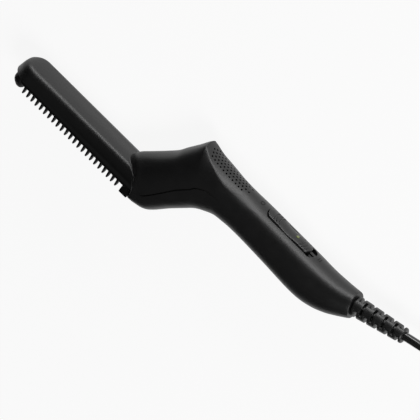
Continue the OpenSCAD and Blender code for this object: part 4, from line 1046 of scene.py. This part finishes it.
def make_cap():
    r = (CAP_HALF ** 2 + SLOT_RISE ** 2) / (2 * SLOT_RISE)
    shares = [*CAP_END_SHARES, *np.linspace(0.018, 0.982, CAP_ROWS), *[1 - s for s in CAP_END_SHARES[::-1]]]
    rows = []
    for s in shares:
        row = []
        for t in spaced(CAP_COLUMNS):
            w = CAP_HALF * (2 * t - 1)
            arc = SLOT_RISE - r + math.sqrt(r * r - w * w)
            x0, x1 = CAP_X0 - arc, CAP_X1 + arc
            x = x0 + (x1 - x0) * s
            edge = min(CAP_HALF - abs(w), x - x0, x1 - x)
            row.append((x, cap_height(x, w, edge), w))
        rows.append(row)
    m = CAP_COLUMNS + 1
    points, faces = loft(rows, closed=False, caps=False)
    rim = ([j for j in range(m)] + [i * m + m - 1 for i in range(1, len(rows))]
           + [(len(rows) - 1) * m + j for j in range(m - 2, -1, -1)]
           + [i * m for i in range(len(rows) - 2, 0, -1)])
    base = len(points)
    points += [(points[k][0], PLATE_TOP - 0.2, points[k][2]) for k in rim]
    n = len(rim)
    faces += [(rim[k], rim[(k + 1) % n], base + (k + 1) % n, base + k) for k in range(n)]
    faces.append(tuple(base + k for k in range(n)))
    cap = piece("switch_button", points, faces, "switch_black", body="switch_slider")
    pocket = tool("pocket_cut", box_points(
        (CAP_X1 + SLOT_RISE - TONGUE_LEN, PLATE_TOP + 0.1, -TONGUE_W / 2 - LOOSE),
        (CAP_X1 + SLOT_RISE + 1, HANDLE_RISE - WALL + TONGUE_T + LOOSE, TONGUE_W / 2 + LOOSE)),
        "switch_black")
    r = LENS_D / 2 + RUNNING
    bore = tool("lens_cut", revolve([(PLATE_TOP - 3, r), (CAP_TOP + 1, r)], 28, at_lens), "switch_black")
    plate = tool("plate_add", box_points(
        (SLOT_X0 - SLOT_RISE - PLATE_OVER + SLIDING, PLATE_TOP - PLATE_T, -PLATE_HALF),
        (CAP_X1 + SLOT_RISE + PLATE_OVER - 0.3, PLATE_TOP, PLATE_HALF)), "switch_black")
    cut(cap, [plate], join=True)
    cut(cap, [pocket, bore])
    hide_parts("switch_cap")

    top, r = CAP_TOP - 0.1, LENS_D / 2
    lens = piece("switch_window", *revolve(
        [(PLATE_TOP - PLATE_T, 0.05), (PLATE_TOP - PLATE_T, r), (top - 0.25, r), (top - 0.08, r - 0.1),
         (top + 0.02, r - 0.35), (top + 0.07, r - 0.7), (top + 0.08, 0.05)], 28, at_lens),
        "lens_clear", body="switch_slider")
    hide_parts("indicator_lens")


make_cap()

# Marks beside the switch
MARK_H, MARK_BAR = 0.12, 0.34
OFF_X, OFF_HALF_X, OFF_HALF_W, HIGH_X, HIGH_HALF_W = 166.6, 1.15, 1.55, (213.75, 215.15), 1.5


def raised(name, loops):
    """Low raised strokes that follow the back's crown."""
    parts = []
    for path, closed in loops:
        n = len(path)
        rows = []
        for k in range(n):
            a = np.array(path[(k - 1) % n] if closed or k else path[k])
            b = np.array(path[(k + 1) % n] if closed or k < n - 1 else path[k])
            d = (b - a) / np.linalg.norm(b - a)
            side = np.array([-d[1], d[0]])
            ring = []
            for off, lift in ((-MARK_BAR, -0.25), (-MARK_BAR, MARK_H * 0.5), (-MARK_BAR * 0.6, MARK_H),
                              (MARK_BAR * 0.6, MARK_H), (MARK_BAR, MARK_H * 0.5), (MARK_BAR, -0.25)):
                x, w = np.array(path[k]) + side * off
                ring.append((x, deck_height(x, w) + lift, w))
            rows.append(ring)
        if closed:
            rows.append(rows[0])
        parts.append(loft(rows, caps=not closed))
    piece(name, *merged(*parts), "guard_black")


def make_marks():
    raised("mark_off", [([(OFF_X + a, b) for a, b in oval(32, OFF_HALF_X, OFF_HALF_W, 1, 1)], True)])
    raised("mark_high", [([(x, w) for w in np.linspace(-HIGH_HALF_W, HIGH_HALF_W, 9)], False)
                         for x in HIGH_X])


make_marks()

# Strain relief
RELIEF_COLLAR = 2.0
RELIEF_CORE = CORD_R + 0.5
RELIEF_FLANGE_R, RELIEF_END_RING, RELIEF_SLOTS = 6.1, 1.5, 5
RELIEF_STEP = (RELIEF_LEN - RELIEF_COLLAR - RELIEF_SLOT - RELIEF_END_RING) / (RELIEF_SLOTS - 1)
# Wide slots around the cord, and short ones between them: where each begins, in degrees
# from the back, and its turn
WIDE_SLOTS, WIDE_TURN = (-98, 82), 124
SHORT_SLOTS, SHORT_TURN, SHORT_INSET = (5, 59, 185, 239), 44, 0.4


def ring_cut(x, width, low, high):
    """Part of a ring around the cord, between two angles from the back."""
    angles = np.linspace(rad(low), rad(high), 13)
    shape = [(r * math.cos(a), r * math.sin(a))
             for r, turn in ((RELIEF_CORE, angles), (RELIEF_D, angles[::-1])) for a in turn]
    return loft([[along_cord(a, *p) for p in shape] for a in (x, x + width)])


def make_relief():
    taper = [(a, RELIEF_D / 2 + (RELIEF_END_D - RELIEF_D) / 2 * (a - 0.8) / (RELIEF_LEN - 1.2))
             for a in np.linspace(1.1, RELIEF_LEN - 0.8, 12)]
    profile = [(-WALL - 2, CORD_R), (-WALL - 2, RELIEF_FLANGE_R), (-WALL - RUNNING, RELIEF_FLANGE_R),
               (-WALL - RUNNING, RELIEF_NECK_R), (0.3, RELIEF_NECK_R), (0.3, RELIEF_D / 2 - 0.5),
               (0.5, RELIEF_D / 2 - 0.15)] + taper + [
        (RELIEF_LEN - 0.3, RELIEF_END_D / 2 - 0.15), (RELIEF_LEN, RELIEF_END_D / 2 - 0.55),
        (RELIEF_LEN, CORD_R)]
    rows = [[along_cord(a, *p) for p in circle(64, r)] for a, r in profile]
    rows.append(rows[0])
    relief = piece("cord_sleeve", *loft(rows, caps=False), "relief_black")
    slots = []
    for i in range(RELIEF_SLOTS):
        x = RELIEF_COLLAR + i * RELIEF_STEP
        slots += [ring_cut(x, RELIEF_SLOT, low, low + WIDE_TURN) for low in WIDE_SLOTS]
    for i in range(RELIEF_SLOTS - 1):
        x = RELIEF_COLLAR + SHORT_INSET + (i + 0.5) * RELIEF_STEP
        slots += [ring_cut(x, RELIEF_SLOT - 2 * SHORT_INSET, low, low + SHORT_TURN) for low in SHORT_SLOTS]
    cut(relief, [tool("relief_cut", merged(*slots), "relief_black")])
    bevel(relief, 0.22, angle=40)
    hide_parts("strain_relief")


make_relief()


def make_inner_cord():
    """The cord inside the casing and the relief, bent a little from its clamp to the relief."""
    clamped = [np.array([*(SOURCE_END + x * SOURCE_OUT), 0.0]) for x in (-16, -14, -10)]
    route = clamped + [np.array(along_cord(x, 0, 0)) for x in (1, 4, 12, RELIEF_LEN)]
    route = smooth_route(route, 4)
    rows = []
    for i, p in enumerate(route):
        last = min(i, len(route) - 2)
        along = route[last + 1] - route[last]
        across = np.array([-along[1], along[0], 0]) / np.linalg.norm(along)
        rows.append([p + a * across + b * np.array([0, 0, 1]) for a, b in circle(24, CORD_R - RUNNING)])
    cord = piece("cord_inner", *loft(rows), "cord_black")
    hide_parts("cord_tail")


make_inner_cord()

# Materials of the frame's solids that have no piece of their own here
KEPT = {
    "heating_comb": "comb_metal", "ptc_heater": "ceramic", "mica_sheet": "ceramic",
    "heater_spring": "steel", "thermal_fuse": "steel", "temperature_sensor": "ceramic",
    "heater_leads": "lead_rubber", "sensor_leads": "lead_rubber", "switch_lever": "inner_plastic",
    "slide_switch": "inner_plastic", "indicator_led": "lens_clear", "control_board": "board_green",
    "film_capacitor": "inner_plastic", "power_triac": "inner_plastic", "board_screws": "steel",
    "mains_leads": "lead_rubber", "cord_clamp": "inner_plastic", "clamp_screws": "steel",
    "housing_screws": "steel",
}
for node, mat in KEPT.items():
    for held in NODES[node].material_slots:
        held.material = MATS[mat]
